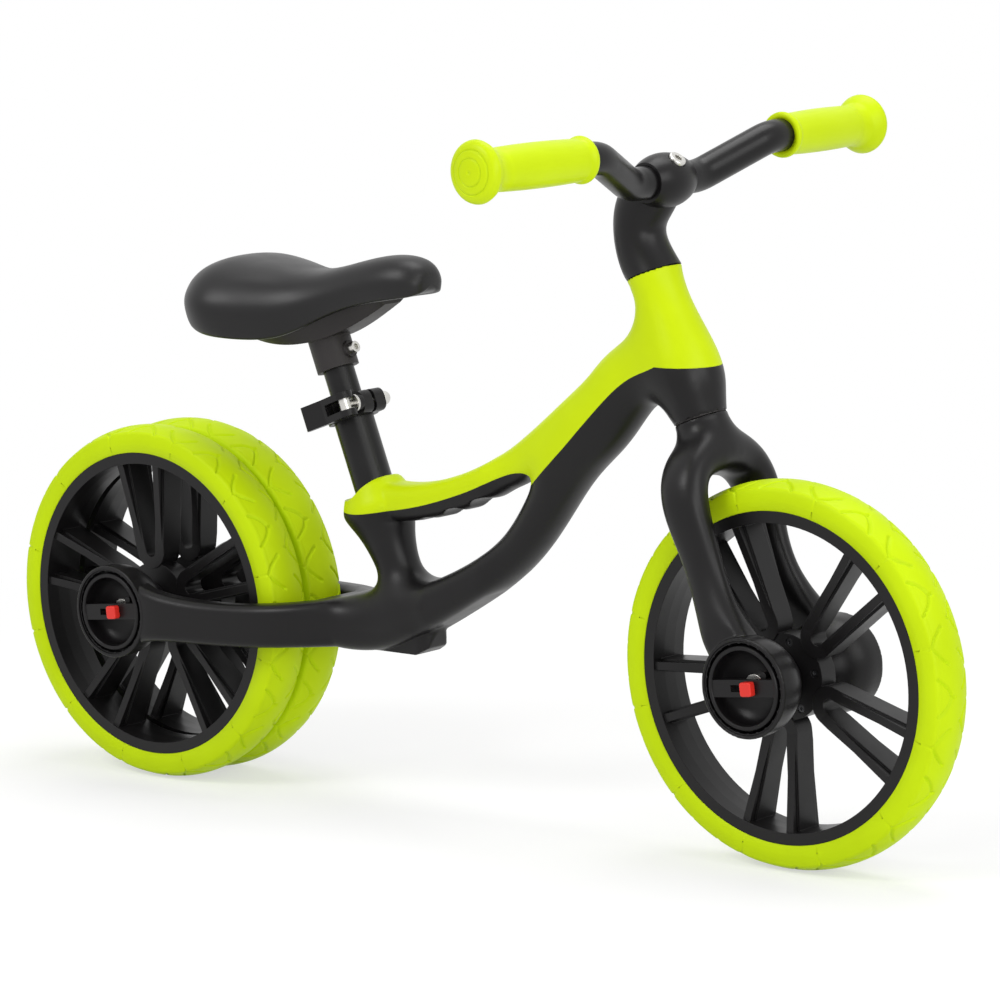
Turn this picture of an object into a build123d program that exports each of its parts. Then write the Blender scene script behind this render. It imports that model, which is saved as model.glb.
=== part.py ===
from build123d import *

import os
from math import cos, radians, sin, tan

# A child's balance bike in millimetres: X forward, Y to the rider's left, Z up from the floor.
# The origin is on the floor, midway between the axles.

# Stance
WHEELBASE = 555.0
REAR_WHEEL_PITCH = 39.0
STEER_TILT = 21.0
FORK_RAKE = 8.0
SEAT_TILT = 20.5
SEAT_SETBACK = 192.2
SEAT_RISE = 98.4

# Clearances
PRESS_GAP = 0.05
RUN_GAP = 0.3
SHAFT_GAP = 0.05
SLIDE_GAP = 0.3

# Wheel
RIM_RADIUS = 111.0
TYRE_DEPTH = 19.0
TYRE_WIDTH = 36.0
RIM_WIDTH = 33.0
RIM_SEAT_DEPTH = 4.5
RIM_LIP = 3.5
RIM_WALL = 4.0
RIM_BAND = 8.0
TYRE_CROWN = 9.0
TYRE_CROWN_DROP = 1.5
TYRE_SHOULDER_DROP = 5.4
TYRE_SIDE_DROP = 14.0
TYRE_EDGE_TUCK = 1.4
HUB_RADIUS = 29.0
HUB_WIDTH = 15.0
HUB_SHOULDER = 1.0
HUB_SHOULDER_BORE = 16.0
SPOKE_COUNT = 5
SPOKE_SPREAD = 36.0
SPOKE_BEND_RADIUS = 9.0
SPOKE_BEND_AT = 38.0
SPOKE_BEAD = 5.6
SPOKE_CORE = 8.6
SPOKE_CORE_DEPTH = 9.0
SPOKE_RIM_RECESS = 2.0
SPOKE_HUB_PROUD = 0.8
FRONT_SPOKE_PHASE = 47.4
REAR_SPOKE_PHASE = 21.8
HUB_SCREW_CIRCLE = 23.1
HUB_SCREW_PHASE = 11.4
HUB_SCREW_HEAD = 5.4
HUB_SCREW_SHANK = 3.0
HUB_SCREW_LENGTH = 9.0
HUB_SCREW_SUNK = 0.6
HUB_SCREW_HEX = 2.4

# Ball bearing
BEARING_OUTER = 22.0
BEARING_BORE = 8.0
BEARING_WIDTH = 7.0
BEARING_SHIELD_INSET = 0.4
BEARING_RACE = 2.2

# Axle, washer and spacer
WASHER_WIDTH = 3.0
WASHER_OUTER = 15.0
AXLE_HEAD = 15.0
AXLE_HEAD_WIDTH = 3.0

# Bowl boss that carries an axle end, with its quick-release knob
BOSS_DEPTH = 45.0
BOSS_RADIUS = 33.5
BOSS_TAIL_RADIUS = 15.0
BOSS_GROOVE_RADIUS = 31.0
BOSS_GROOVE_DEPTH = 8.0
BOSS_BOWL_RADIUS = 28.4
BOSS_BOWL_DEPTH = 18.5
DETENT_COUNT = 24
DETENT_WIDTH = 1.6
DETENT_HEIGHT = 1.4
DETENT_RING_WALL = 0.9
DETENT_RING_INSET = 1.0
KNOB_RING_RADIUS = 28.0
KNOB_RING_WALL = 3.0
KNOB_RING_DEPTH = 6.0
KNOB_FLOOR = 2.0
KNOB_BAR_HEIGHT = 11.4
KNOB_BAR_WIDTH = 4.6
KNOB_BAR_INSET = 1.0
KNOB_SLOT_HEIGHT = 4.6
KNOB_TURN = 6.0
BUTTON_AT = 5.0
BUTTON_LENGTH = 9.0
BUTTON_HEIGHT = 9.4
BUTTON_PROUD = 5.0
BUTTON_TRAVEL = 12.0
BUTTON_STEM = 6.0
BUTTON_FOOT = 1.8
LATCH_PIN_DIAMETER = 5.0
LATCH_PIN_AT = (12.5, 7.2)
LATCH_PIN_TOP = 7.0
CAP_WALL = 3.0
CAP_HUB = 18.0

# Fork
ARCH_CLEARANCE = 14.0
CROWN_HEIGHT = 36.0
LEG_GAP = 11.0
LEG_THICKNESS = 17.0
LEG_WIDTH = 29.5
LEG_SET_BACK = 5.0
CROWN_RADIUS = 18.0
STEERER_DIAMETER = 25.4
STEERER_WALL = 2.0
STEERER_IN_FORK = 26.0
STEERER_IN_STEM = 26.0

# Frame head
HEAD_LENGTH = 102.0
HEAD_FLARE_RADIUS = 24.0
HEAD_TOP_RADIUS = 19.0
BUSH_WALL = 2.6
BUSH_LENGTH = 14.0
BUSH_FLANGE = 2.0
BUSH_FLANGE_RIM = 2.2

# Frame tubes
NECK_WIDTH = 38.0
DOWN_TUBE_WIDTH = 41.0
BEAM_WIDTH = 50.0
HANDLE_WIDTH = 31.0
TUBE_CORNER = 12.0
GROOVE_COUNT = 4
GROOVE_PITCH = 24.5
GROOVE_START = (60.0, -20.5)
GROOVE_SLOPE = 0.357
GROOVE_RADIUS = 15.0
GROOVE_DEPTH = 3.0
PILLAR_WAIST = 15.8
PILLAR_COLLAR = 20.5
PILLAR_SKIRT = 26.5
BRIDGE_CLEARANCE = 15.0
STAY_THICKNESS = 18.0
STAY_HEIGHT = 31.0
STAY_SPLIT = 3.0
KEEL_WIDTH = 27.0
KEEL_PAD_LENGTH = 56.0
KEEL_AHEAD = 18.0
KEEL_DROP = 3.0

# Stem and handlebar
STEM_REACH = 31.0
STEM_RISE = 54.0
STEM_BASE_RADIUS = 19.0
STEM_WAIST_RADIUS = 18.0
STEM_BOW = 4.0
CLAMP_RADIUS = 18.5
CLAMP_WIDTH = 39.0
CLAMP_MOUTH_WALL = 2.2
BAR_DIAMETER = 22.2
BAR_WALL = 2.0
BAR_LENGTH = 416.0
BAR_RISE = 29.0
BAR_RISE_TILT = 51.0
BAR_CENTRE = 74.0
BAR_RISE_AT = 92.0
BAR_BEND_RADIUS = 30.0
BAR_SWEEP = 2.4
BAR_BOLT_HEAD = 12.0
BAR_BOLT_HEAD_LENGTH = 6.0
BAR_BOLT_SHANK = 6.0
BAR_BOLT_HEX = 5.0
GRIP_LENGTH = 108.0
GRIP_FLANGE = 31.0
GRIP_FLANGE_WIDTH = 4.0
GRIP_BODY = 27.6
GRIP_BULGE = 29.6
GRIP_KNOB = 40.5
GRIP_KNOB_WIDTH = 17.0
GRIP_END_WALL = 7.0

# Seat tube, clamp and post, measured along the seat tube from the top of the frame
SEAT_TUBE_DIAMETER = 28.6
SEAT_TUBE_WALL = 1.7
SEAT_TUBE_ABOVE = 63.0
SEAT_TUBE_BELOW = 34.0
POST_DIAMETER = 22.2
POST_WALL = 2.0
POST_BELOW = 60.0
POST_EXPOSED = 21.0
POST_IN_COLLAR = 20.0
POST_TRAVEL_DOWN = 18.0
SHIM_LENGTH = 44.0
COLLAR_HEIGHT = 24.0
COLLAR_DIAMETER = 30.4
SEAT_CLAMP_HEIGHT = 16.5
SEAT_CLAMP_WALL = 3.8
SEAT_CLAMP_SLIT = 3.0
EAR_LENGTH = 9.0
EAR_THICKNESS = 10.0
CLAMP_BOLT_AHEAD = 19.5
CLAMP_BOLT_DIAMETER = 5.0
BARREL_OUT = 26.0
BARREL_DIAMETER = 8.0
BARREL_LENGTH = 15.5
NUT_DIAMETER = 10.0
NUT_LENGTH = 7.0
BUSH_DIAMETER = 12.0
CLAMP_WASHER_DIAMETER = 13.0
CLAMP_WASHER_WIDTH = 2.0
LEVER_HEIGHT = 17.5
LEVER_EYE_RADIUS = 7.0
LEVER_THICKNESS = 6.0
LEVER_TIP_THICKNESS = 4.4
LEVER_REACH = 34.0
LEVER_FLARE = 5.0
LEVER_SLOT = 8.0
LEVER_SLOT_BACK = 14.0

# Saddle
SADDLE_LENGTH = 204.0
SADDLE_NOSE_AHEAD = 98.0
SADDLE_HALF_WIDTH = 62.0
SADDLE_NOSE_HALF_WIDTH = 24.0
SADDLE_ABOVE_COLLAR = 19.0
SADDLE_DEPTH = 46.0
SADDLE_TUCK = 0.84
SADDLE_SKIRT = 7.0
SADDLE_PAN_KEEL = ((-2.0, 20.0), (4.0, 20.0), (8.0, 17.0), (13.0, 12.0), (3.0, 8.0))
SADDLE_PAN_GAP = 1.6
SADDLE_PAN_EDGE = 1.0
COLLAR_IN_PAN = 6.0
SADDLE_BOLT_DIAMETER = 5.0
SADDLE_BOLT_HEAD = 8.0
SADDLE_BOLT_HEAD_LENGTH = 5.0
SADDLE_BOLT_UP = 10.0
SADDLE_BOSS_DIAMETER = 12.0
SADDLE_BOSS_PROUD = 2.0

# Places worked out from the sizes
TYRE_RADIUS = RIM_RADIUS + TYRE_DEPTH
AXLE_Z = TYRE_RADIUS
FRONT_X = WHEELBASE / 2
REAR_X = -WHEELBASE / 2
AXLE_DIAMETER = BEARING_BORE - 2 * SHAFT_GAP
ARCH_S = TYRE_RADIUS + ARCH_CLEARANCE
HEAD_BOTTOM_S = ARCH_S + CROWN_HEIGHT
HEAD_TOP_S = HEAD_BOTTOM_S + HEAD_LENGTH
BOSS_TAIL = HUB_WIDTH / 2 + RUN_GAP + WASHER_WIDTH
FRONT_FACE_Y = BOSS_TAIL + BOSS_DEPTH
REAR_WHEEL_Y = REAR_WHEEL_PITCH / 2
REAR_FACE_Y = REAR_WHEEL_Y + FRONT_FACE_Y
STEER_ORIGIN = (
    FRONT_X - FORK_RAKE * cos(radians(STEER_TILT)),
    0,
    AXLE_Z - FORK_RAKE * sin(radians(STEER_TILT)),
)
STEER = Location(STEER_ORIGIN, (0, -STEER_TILT, 0))
SEAT_ORIGIN = (REAR_X + SEAT_SETBACK, 0, AXLE_Z + SEAT_RISE)
SEAT = Location(SEAT_ORIGIN, (0, -SEAT_TILT, 0))
FRONT_AXLE = Location((FRONT_X, 0, AXLE_Z), (90, 0, 0))
REAR_AXLE = Location((REAR_X, 0, AXLE_Z), (90, 0, 0))
POST_RADIUS = POST_DIAMETER / 2
BAR_RADIUS = BAR_DIAMETER / 2


def steer_point(u, s):
    """World point at u ahead of the steering axis and s along it"""
    tilt = radians(STEER_TILT)
    x = STEER_ORIGIN[0] + u * cos(tilt) - s * sin(tilt)
    z = STEER_ORIGIN[2] + u * sin(tilt) + s * cos(tilt)
    return x, z


HEAD_X, HEAD_Z = steer_point(0, HEAD_BOTTOM_S)
SEAT_X = SEAT_ORIGIN[0]
SEAT_Z = SEAT_ORIGIN[2]


def from_head(dx, dz):
    return HEAD_X + dx, HEAD_Z + dz


def from_seat(dx, dz):
    return SEAT_X + dx, SEAT_Z + dz


def from_rear(dx, dz):
    return REAR_X + dx, AXLE_Z + dz


def ring(outer, inner, start, end):
    """Tube about Z from start to end"""
    length = end - start
    tube = Cylinder(outer, length) - Cylinder(inner, length)
    return Pos(0, 0, (start + end) / 2) * tube


def rod(radius, start, end):
    """Solid round bar about Z from start to end"""
    return Pos(0, 0, (start + end) / 2) * Cylinder(radius, end - start)


def lathe(*edges):
    """Turn a closed profile drawn on XZ about Z"""
    return revolve(make_face(edges), Axis.Z)


def turned(points):
    """Turn a closed polygon of (radius, height) about Z"""
    return lathe(Polyline(*[(r, 0, z) for r, z in points], close=True))


def mirrored(shape):
    return mirror(shape, Plane.XZ)


def polar(radius, angle):
    return radius * cos(radians(angle)), radius * sin(radians(angle))


# Wheels, built about Z and laid on their axles


def tyre():
    """Solid foam tyre with a crowned tread and round shoulders, on the rim seat"""
    half = TYRE_WIDTH / 2
    seat = RIM_RADIUS - RIM_SEAT_DEPTH + PRESS_GAP
    lip_inner = RIM_WIDTH / 2 - RIM_LIP - PRESS_GAP
    lip = RIM_RADIUS + PRESS_GAP
    edge = half - TYRE_EDGE_TUCK
    side = TYRE_RADIUS - TYRE_SIDE_DROP
    shoulder = TYRE_RADIUS - TYRE_SHOULDER_DROP
    crown = TYRE_RADIUS - TYRE_CROWN_DROP
    shoulder_y = TYRE_CROWN + 0.6 * (half - TYRE_CROWN)

    def flank(sign):
        return [
            Line((seat, 0, sign * lip_inner), (lip, 0, sign * lip_inner)),
            Line((lip, 0, sign * lip_inner), (lip, 0, sign * edge)),
            Line((lip, 0, sign * edge), (side, 0, sign * half)),
            ThreePointArc(
                (side, 0, sign * half),
                (shoulder, 0, sign * shoulder_y),
                (crown, 0, sign * TYRE_CROWN),
            ),
        ]

    tread = ThreePointArc((crown, 0, TYRE_CROWN), (TYRE_RADIUS, 0, 0), (crown, 0, -TYRE_CROWN))
    seat_line = Line((seat, 0, -lip_inner), (seat, 0, lip_inner))
    return lathe(*flank(1), tread, *flank(-1), seat_line)


def spoke_band(wall):
    """Outline of one U spoke along +X, as a band of the given wall"""
    reach = RIM_RADIUS - RIM_BAND
    leg = SPOKE_SPREAD / 2
    outer = SPOKE_BEND_RADIUS + wall / 2
    inner = SPOKE_BEND_RADIUS - wall / 2
    tip = 1.0

    def loop(radius, half):
        bend = Pos(SPOKE_BEND_AT, 0) * Circle(radius)
        ends = [Pos(reach, side * (half - tip)) * Circle(tip) for side in (-1, 1)]
        return make_hull(bend.edges() + ends[0].edges() + ends[1].edges())

    band = loop(outer, leg + wall / 2) - loop(inner, leg - wall / 2)
    beyond = Pos(reach + 5 * tip, 0) * Rectangle(10 * tip, 2 * SPOKE_SPREAD)
    return band - beyond


def rim(phase):
    """Moulded rim: seat barrel, hub and U spokes with a bead on each edge"""
    half = RIM_WIDTH / 2
    seat = RIM_RADIUS - RIM_SEAT_DEPTH
    band = RIM_RADIUS - RIM_BAND
    waist = seat - RIM_WALL
    lip = half - RIM_LIP
    barrel = turned(
        [
            (RIM_RADIUS, half),
            (RIM_RADIUS, lip),
            (seat, lip),
            (seat, -lip),
            (RIM_RADIUS, -lip),
            (RIM_RADIUS, -half),
            (band, -half),
            (waist, -half / 3),
            (waist, half / 3),
            (band, half),
        ]
    )
    hub = Cylinder(HUB_RADIUS, HUB_WIDTH)
    depth_at_rim = half - SPOKE_RIM_RECESS
    depth_at_hub = HUB_WIDTH / 2 + SPOKE_HUB_PROUD
    envelope = turned(
        [
            (0, depth_at_hub),
            (SPOKE_BEND_AT, depth_at_hub),
            (waist, depth_at_rim),
            (band, depth_at_rim),
            (band, -depth_at_rim),
            (waist, -depth_at_rim),
            (SPOKE_BEND_AT, -depth_at_hub),
            (0, -depth_at_hub),
        ]
    )
    bead = extrude(spoke_band(SPOKE_BEAD), half, both=True)
    core = extrude(spoke_band(SPOKE_CORE), SPOKE_CORE_DEPTH, both=True)
    spoke = (bead + core) & envelope
    body = barrel + hub
    body += [Rot(0, 0, phase + k * 360 / SPOKE_COUNT) * spoke for k in range(SPOKE_COUNT)]
    bore = BEARING_OUTER / 2 + PRESS_GAP
    body -= rod(HUB_SHOULDER_BORE / 2, -HUB_WIDTH, HUB_WIDTH)
    for side in (-1, 1):
        body -= Pos(0, 0, side * (HUB_WIDTH / 2 + HUB_SHOULDER / 2)) * Cylinder(bore, HUB_WIDTH)
    return body


def hub_screw_places():
    """Places on the near hub face for the ring of screws"""
    step = 360 / SPOKE_COUNT
    face = HUB_WIDTH / 2 - HUB_SCREW_SUNK
    return [Pos(*polar(HUB_SCREW_CIRCLE, HUB_SCREW_PHASE + k * step), face) for k in range(SPOKE_COUNT)]


def hub_screws():
    head_height = HUB_SCREW_HEAD / 2
    head = rod(HUB_SCREW_HEAD / 2, -head_height, 0)
    socket = extrude(RegularPolygon(HUB_SCREW_HEX / 2, 6), -head_height * 0.6)
    shank = rod(HUB_SCREW_SHANK / 2, -HUB_SCREW_LENGTH, -head_height)
    screw = head - socket + shank
    return [place * screw for place in hub_screw_places()]


def hub_screw_holes():
    head_height = HUB_SCREW_HEAD / 2
    hole = rod(HUB_SCREW_HEAD / 2 + 2 * PRESS_GAP, -head_height, HUB_SCREW_SUNK + SPOKE_HUB_PROUD)
    hole += rod(HUB_SCREW_SHANK / 2 + PRESS_GAP, -HUB_SCREW_LENGTH - PRESS_GAP, -head_height)
    return [place * hole for place in hub_screw_places()]


def bearings():
    """Pair of shielded ball bearings, one each side of the hub shoulder"""
    outer = BEARING_OUTER / 2
    bore = BEARING_BORE / 2
    bearing = ring(outer, bore, 0, BEARING_WIDTH)
    shield = ring(outer - BEARING_RACE, bore + BEARING_RACE, 0, BEARING_SHIELD_INSET)
    bearing -= shield
    bearing -= Pos(0, 0, BEARING_WIDTH - BEARING_SHIELD_INSET) * shield
    near = Pos(0, 0, HUB_SHOULDER / 2) * bearing
    far = Pos(0, 0, -HUB_SHOULDER / 2 - BEARING_WIDTH) * bearing
    return [near, far]


def washers(inner, outer_face):
    """Spacing washers at +Z and -Z between a bearing and its boss"""
    washer = ring(WASHER_OUTER / 2, AXLE_DIAMETER / 2 + SHAFT_GAP, inner, outer_face)
    return [washer, mirror(washer, Plane.XY)]


# Bowl boss and quick release, built about Z with +Z outwards and the boss face at Z = 0


def boss():
    """Bowl that narrows from the ring at its mouth to the tail at the hub"""
    half = BOSS_DEPTH / 2
    profile = [
        Line((0, 0, 0), (BOSS_RADIUS - 1.0, 0, 0)),
        ThreePointArc((BOSS_RADIUS - 1.0, 0, 0), (BOSS_RADIUS - 0.3, 0, -0.3), (BOSS_RADIUS, 0, -1.0)),
        Spline(
            (BOSS_RADIUS, 0, -1.0),
            (BOSS_RADIUS - 1.0, 0, -half * 0.75),
            (BOSS_TAIL_RADIUS + 7.0, 0, -half * 1.5),
            (BOSS_TAIL_RADIUS, 0, -BOSS_DEPTH),
            tangents=[(0, 0, -1), (-0.15, 0, -1)],
        ),
        Line((BOSS_TAIL_RADIUS, 0, -BOSS_DEPTH), (0, 0, -BOSS_DEPTH)),
        Line((0, 0, -BOSS_DEPTH), (0, 0, 0)),
    ]
    return lathe(*profile)


def boss_cavity():
    """What is cut from a boss: the groove at its mouth, the bowl and the axle bore"""
    cavity = rod(BOSS_GROOVE_RADIUS, -BOSS_GROOVE_DEPTH, 1.0)
    cavity += rod(BOSS_BOWL_RADIUS, -BOSS_BOWL_DEPTH, 1.0)
    return cavity + rod(AXLE_DIAMETER / 2 + SHAFT_GAP, -BOSS_DEPTH - 1.0, 1.0)


def detent_ring():
    """Thin ring pressed into the groove round the knob, with a rib for each detent"""
    outer = BOSS_GROOVE_RADIUS - PRESS_GAP
    wall_middle = outer - DETENT_RING_WALL / 2
    height = BOSS_GROOVE_DEPTH - DETENT_RING_INSET
    body = ring(outer, outer - DETENT_RING_WALL, -BOSS_GROOVE_DEPTH, -DETENT_RING_INSET)
    rib_depth = DETENT_HEIGHT - DETENT_RING_WALL / 2
    rib = Pos(wall_middle - rib_depth / 2, 0, -DETENT_RING_INSET - height / 2)
    rib *= Box(rib_depth, DETENT_WIDTH, height)
    return body + [Rot(0, 0, k * 360 / DETENT_COUNT) * rib for k in range(DETENT_COUNT)]


def knob():
    """Dished cup with a ring at its mouth and a slotted bar across it"""
    ring_inner = KNOB_RING_RADIUS - KNOB_RING_WALL
    back = -BOSS_BOWL_DEPTH + SLIDE_GAP
    cup_radius = BOSS_BOWL_RADIUS - 2 * SLIDE_GAP
    floor = back + KNOB_FLOOR
    profile = [
        Polyline(
            (AXLE_DIAMETER / 2 + PRESS_GAP, 0, floor),
            (AXLE_DIAMETER / 2 + PRESS_GAP, 0, back),
            (cup_radius - 4.0, 0, back),
            (cup_radius, 0, back + 4.0),
            (cup_radius, 0, -KNOB_RING_DEPTH),
            (KNOB_RING_RADIUS, 0, -KNOB_RING_DEPTH + 0.4),
            (KNOB_RING_RADIUS, 0, -0.8),
            (KNOB_RING_RADIUS - 0.8, 0, 0),
            (ring_inner + 0.6, 0, 0),
            (ring_inner, 0, -0.6),
            (ring_inner, 0, -KNOB_RING_DEPTH),
        ),
        Spline(
            (ring_inner, 0, -KNOB_RING_DEPTH),
            (ring_inner - 5.0, 0, floor + 2.6),
            (AXLE_HEAD / 2 + 1.0, 0, floor),
            tangents=[(0, 0, -1), (-1, 0, 0)],
        ),
        Line((AXLE_HEAD / 2 + 1.0, 0, floor), (AXLE_DIAMETER / 2 + PRESS_GAP, 0, floor)),
    ]
    cup = lathe(*profile)
    bar_middle = -KNOB_BAR_INSET - KNOB_BAR_WIDTH / 2
    bar = Pos(0, 0, bar_middle) * Box(2 * KNOB_RING_RADIUS, KNOB_BAR_HEIGHT, KNOB_BAR_WIDTH)
    bar &= rod(KNOB_RING_RADIUS - KNOB_RING_WALL / 2, -BOSS_BOWL_DEPTH, 0)
    slot_right = BUTTON_AT + BUTTON_STEM / 2 + SLIDE_GAP
    slot_left = BUTTON_AT - BUTTON_TRAVEL - BUTTON_STEM / 2 - SLIDE_GAP
    slot = Pos((slot_left + slot_right) / 2, 0, bar_middle)
    slot *= Box(slot_right - slot_left, KNOB_SLOT_HEIGHT, 2 * KNOB_BAR_WIDTH)
    return cup + (bar - slot)


def knob_floor_height():
    return -BOSS_BOWL_DEPTH + SLIDE_GAP + KNOB_FLOOR


def axle(far_end):
    """Axle with a flat head seated on the knob floor, running to far_end"""
    head = knob_floor_height()
    shaft = rod(AXLE_DIAMETER / 2, far_end, head)
    return shaft + rod(AXLE_HEAD / 2, head, head + AXLE_HEAD_WIDTH)


def latch_pin():
    """Small round post that stands on the dished floor behind the bar"""
    x, y = LATCH_PIN_AT
    pin = Pos(x, y, 0) * rod(LATCH_PIN_DIAMETER / 2, knob_floor_height() - KNOB_FLOOR / 2, -LATCH_PIN_TOP)
    return pin - knob()


def button():
    """Red lock: a cap on the bar, a stem through the slot and a foot behind"""
    face = -KNOB_BAR_INSET + SLIDE_GAP
    cap_height = BUTTON_PROUD
    cap = Pos(0, 0, face + cap_height / 2) * Box(BUTTON_LENGTH, BUTTON_HEIGHT, cap_height)
    cap = fillet(cap.edges().filter_by(Axis.Z), BUTTON_LENGTH / 5)
    cap = fillet(cap.faces().sort_by(Axis.Z)[-1].edges(), BUTTON_LENGTH / 9)
    behind = -KNOB_BAR_INSET - KNOB_BAR_WIDTH - SLIDE_GAP
    stem_height = KNOB_SLOT_HEIGHT - 2 * SLIDE_GAP
    stem = Pos(0, 0, (face + behind) / 2) * Box(BUTTON_STEM, stem_height, face - behind)
    foot = Pos(0, 0, behind - BUTTON_FOOT / 2) * Box(BUTTON_LENGTH, BUTTON_HEIGHT, BUTTON_FOOT)
    return Pos(BUTTON_AT, 0, 0) * (cap + stem + foot)


def axle_cap():
    """Plain cap in the far bowl, with the hub that takes the axle's end"""
    radius = BOSS_BOWL_RADIUS - SLIDE_GAP
    floor = -BOSS_BOWL_DEPTH
    cap = rod(radius, floor, -KNOB_BAR_INSET)
    cap = chamfer(cap.faces().sort_by(Axis.Z)[-1].edges(), CAP_WALL / 2)
    cap -= ring(radius - CAP_WALL, CAP_HUB / 2, floor, -KNOB_BAR_INSET - CAP_WALL)
    cap -= rod(AXLE_DIAMETER / 2 + SHAFT_GAP, floor, axle_end_in_cap() + RUN_GAP)
    return cap


def axle_end_in_cap():
    """Depth of the axle's end inside the cap, from the boss face"""
    return -BOSS_BOWL_DEPTH / 2


# Fork, built in the steering frame: X ahead, Z up the axis


def leg_section(y, s, u, heading, width, thickness):
    """Rounded section across a leg that runs at heading degrees below the -Y direction"""
    angle = radians(heading)
    plane = Plane(origin=(u, y, s), x_dir=(1, 0, 0), z_dir=(0, -cos(angle), -sin(angle)))
    return plane * RectangleRounded(width, thickness, min(width, thickness) * 0.36)


def fork():
    leg_y = -TYRE_WIDTH / 2 - LEG_GAP - LEG_THICKNESS / 2
    mid_crown = ARCH_S + CROWN_HEIGHT / 2 - 5
    sections = [
        leg_section(0, mid_crown, 0, 0, LEG_WIDTH + 8, CROWN_HEIGHT - 12),
        leg_section(leg_y * 0.55, mid_crown - 4, -1, 20, LEG_WIDTH + 7, CROWN_HEIGHT - 14),
        leg_section(leg_y + 1, ARCH_S - 6, -0.5 * LEG_SET_BACK, 66, LEG_WIDTH + 4, LEG_THICKNESS + 3),
        leg_section(leg_y - 1, ARCH_S * 0.70, -LEG_SET_BACK, 87, LEG_WIDTH, LEG_THICKNESS),
        leg_section(leg_y - 2, ARCH_S * 0.42, -LEG_SET_BACK, 86, LEG_WIDTH, LEG_THICKNESS),
        leg_section(leg_y - 5, BOSS_RADIUS * 0.75, FORK_RAKE - 5, 84, LEG_WIDTH + 8, LEG_THICKNESS + 4),
        leg_section(leg_y - 6, 0, FORK_RAKE, 90, LEG_WIDTH + 12, LEG_THICKNESS + 4),
    ]
    leg = loft(sections)
    crown = turned(
        [
            (0, HEAD_BOTTOM_S - RUN_GAP),
            (CROWN_RADIUS, HEAD_BOTTOM_S - RUN_GAP),
            (CROWN_RADIUS + 0.8, HEAD_BOTTOM_S - CROWN_HEIGHT / 3),
            (CROWN_RADIUS + 1.5, ARCH_S + CROWN_HEIGHT / 4),
            (0, ARCH_S + CROWN_HEIGHT / 4),
        ]
    )
    lay = Pos(FORK_RAKE, -FRONT_FACE_Y, 0) * Rot(90, 0, 0)
    side = leg + lay * boss()
    body = side + mirrored(side) + crown
    body -= lay * boss_cavity()
    body -= mirrored(lay * boss_cavity())
    body -= rod(STEERER_DIAMETER / 2 + PRESS_GAP, HEAD_BOTTOM_S - STEERER_IN_FORK, HEAD_BOTTOM_S + 1)
    return STEER * body


def steerer_tube():
    start = HEAD_BOTTOM_S - STEERER_IN_FORK
    end = HEAD_TOP_S + STEERER_IN_STEM
    return STEER * ring(STEERER_DIAMETER / 2, STEERER_DIAMETER / 2 - STEERER_WALL, start, end)


def head_bush():
    """Flanged bush at the head's lower end, built with the flange at Z = 0"""
    bore = STEERER_DIAMETER / 2 + SHAFT_GAP
    outer = STEERER_DIAMETER / 2 + BUSH_WALL
    bush = ring(outer, bore, 0, BUSH_LENGTH)
    return bush + ring(outer + BUSH_FLANGE_RIM, bore, 0, BUSH_FLANGE)


def lower_head_bush():
    return STEER * (Pos(0, 0, HEAD_BOTTOM_S) * head_bush())


def upper_head_bush():
    return STEER * (Pos(0, 0, HEAD_TOP_S) * mirror(head_bush(), Plane.XY))


# Frame


def side_section(place, heading, height, width):
    """Rounded section across a tube that runs at heading degrees in the XZ plane"""
    angle = radians(heading)
    x, z = place
    plane = Plane(origin=(x, 0, z), x_dir=(0, 1, 0), z_dir=(cos(angle), 0, sin(angle)))
    return plane * RectangleRounded(width, height, min(TUBE_CORNER, 0.42 * min(height, width)))


def plan_section(place, y, heading, thickness, height):
    """Rounded section across a stay that runs at heading degrees in plan"""
    angle = radians(heading)
    x, z = place
    plane = Plane(
        origin=(x, y, z),
        x_dir=(-sin(angle), cos(angle), 0),
        z_dir=(cos(angle), sin(angle), 0),
    )
    return plane * RectangleRounded(thickness, height, 0.36 * thickness)


def spine():
    """Down tube and beam, from the head down to the bridge in front of the rear tyres"""
    bridge = TYRE_RADIUS + BRIDGE_CLEARANCE
    return loft(
        [
            side_section(from_head(-30, 30), 210, 46, NECK_WIDTH - 3),
            side_section(from_head(-79, -4.5), 225, 43, NECK_WIDTH),
            side_section(from_head(-104.5, -32), 229, 35, NECK_WIDTH + 2),
            side_section(from_head(-128, -65.5), 229, 28, DOWN_TUBE_WIDTH),
            side_section(from_seat(132.4, -36.6), 217, 24.5, DOWN_TUBE_WIDTH),
            side_section(from_seat(102, -57.8), 210, 25.5, DOWN_TUBE_WIDTH + 2),
            side_section(from_seat(59, -79.6), 202, 31, BEAM_WIDTH - 2),
            side_section(from_seat(20, -94), 192, 38, BEAM_WIDTH),
            side_section(from_rear(bridge + 32, 0), 183, 35, BEAM_WIDTH + 12),
            side_section(from_rear(bridge, -2), 180, 30, BEAM_WIDTH + 26),
        ]
    )


def handle():
    """Carrying handle from the neck back to the seat pillar"""
    return loft(
        [
            side_section(from_head(-32, 58), 226, 36, HANDLE_WIDTH - 1),
            side_section(from_head(-97, -2), 220, 30, HANDLE_WIDTH + 2),
            side_section(from_head(-143, -36), 214, 28, HANDLE_WIDTH + 1),
            side_section(from_seat(111, 11), 205, 25, HANDLE_WIDTH),
            side_section(from_seat(75, -2), 194, 25, HANDLE_WIDTH),
            side_section(from_seat(40, -9), 183, 26, HANDLE_WIDTH + 2),
            side_section(from_seat(6, -8), 178, 28, HANDLE_WIDTH + 3),
        ]
    )


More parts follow.
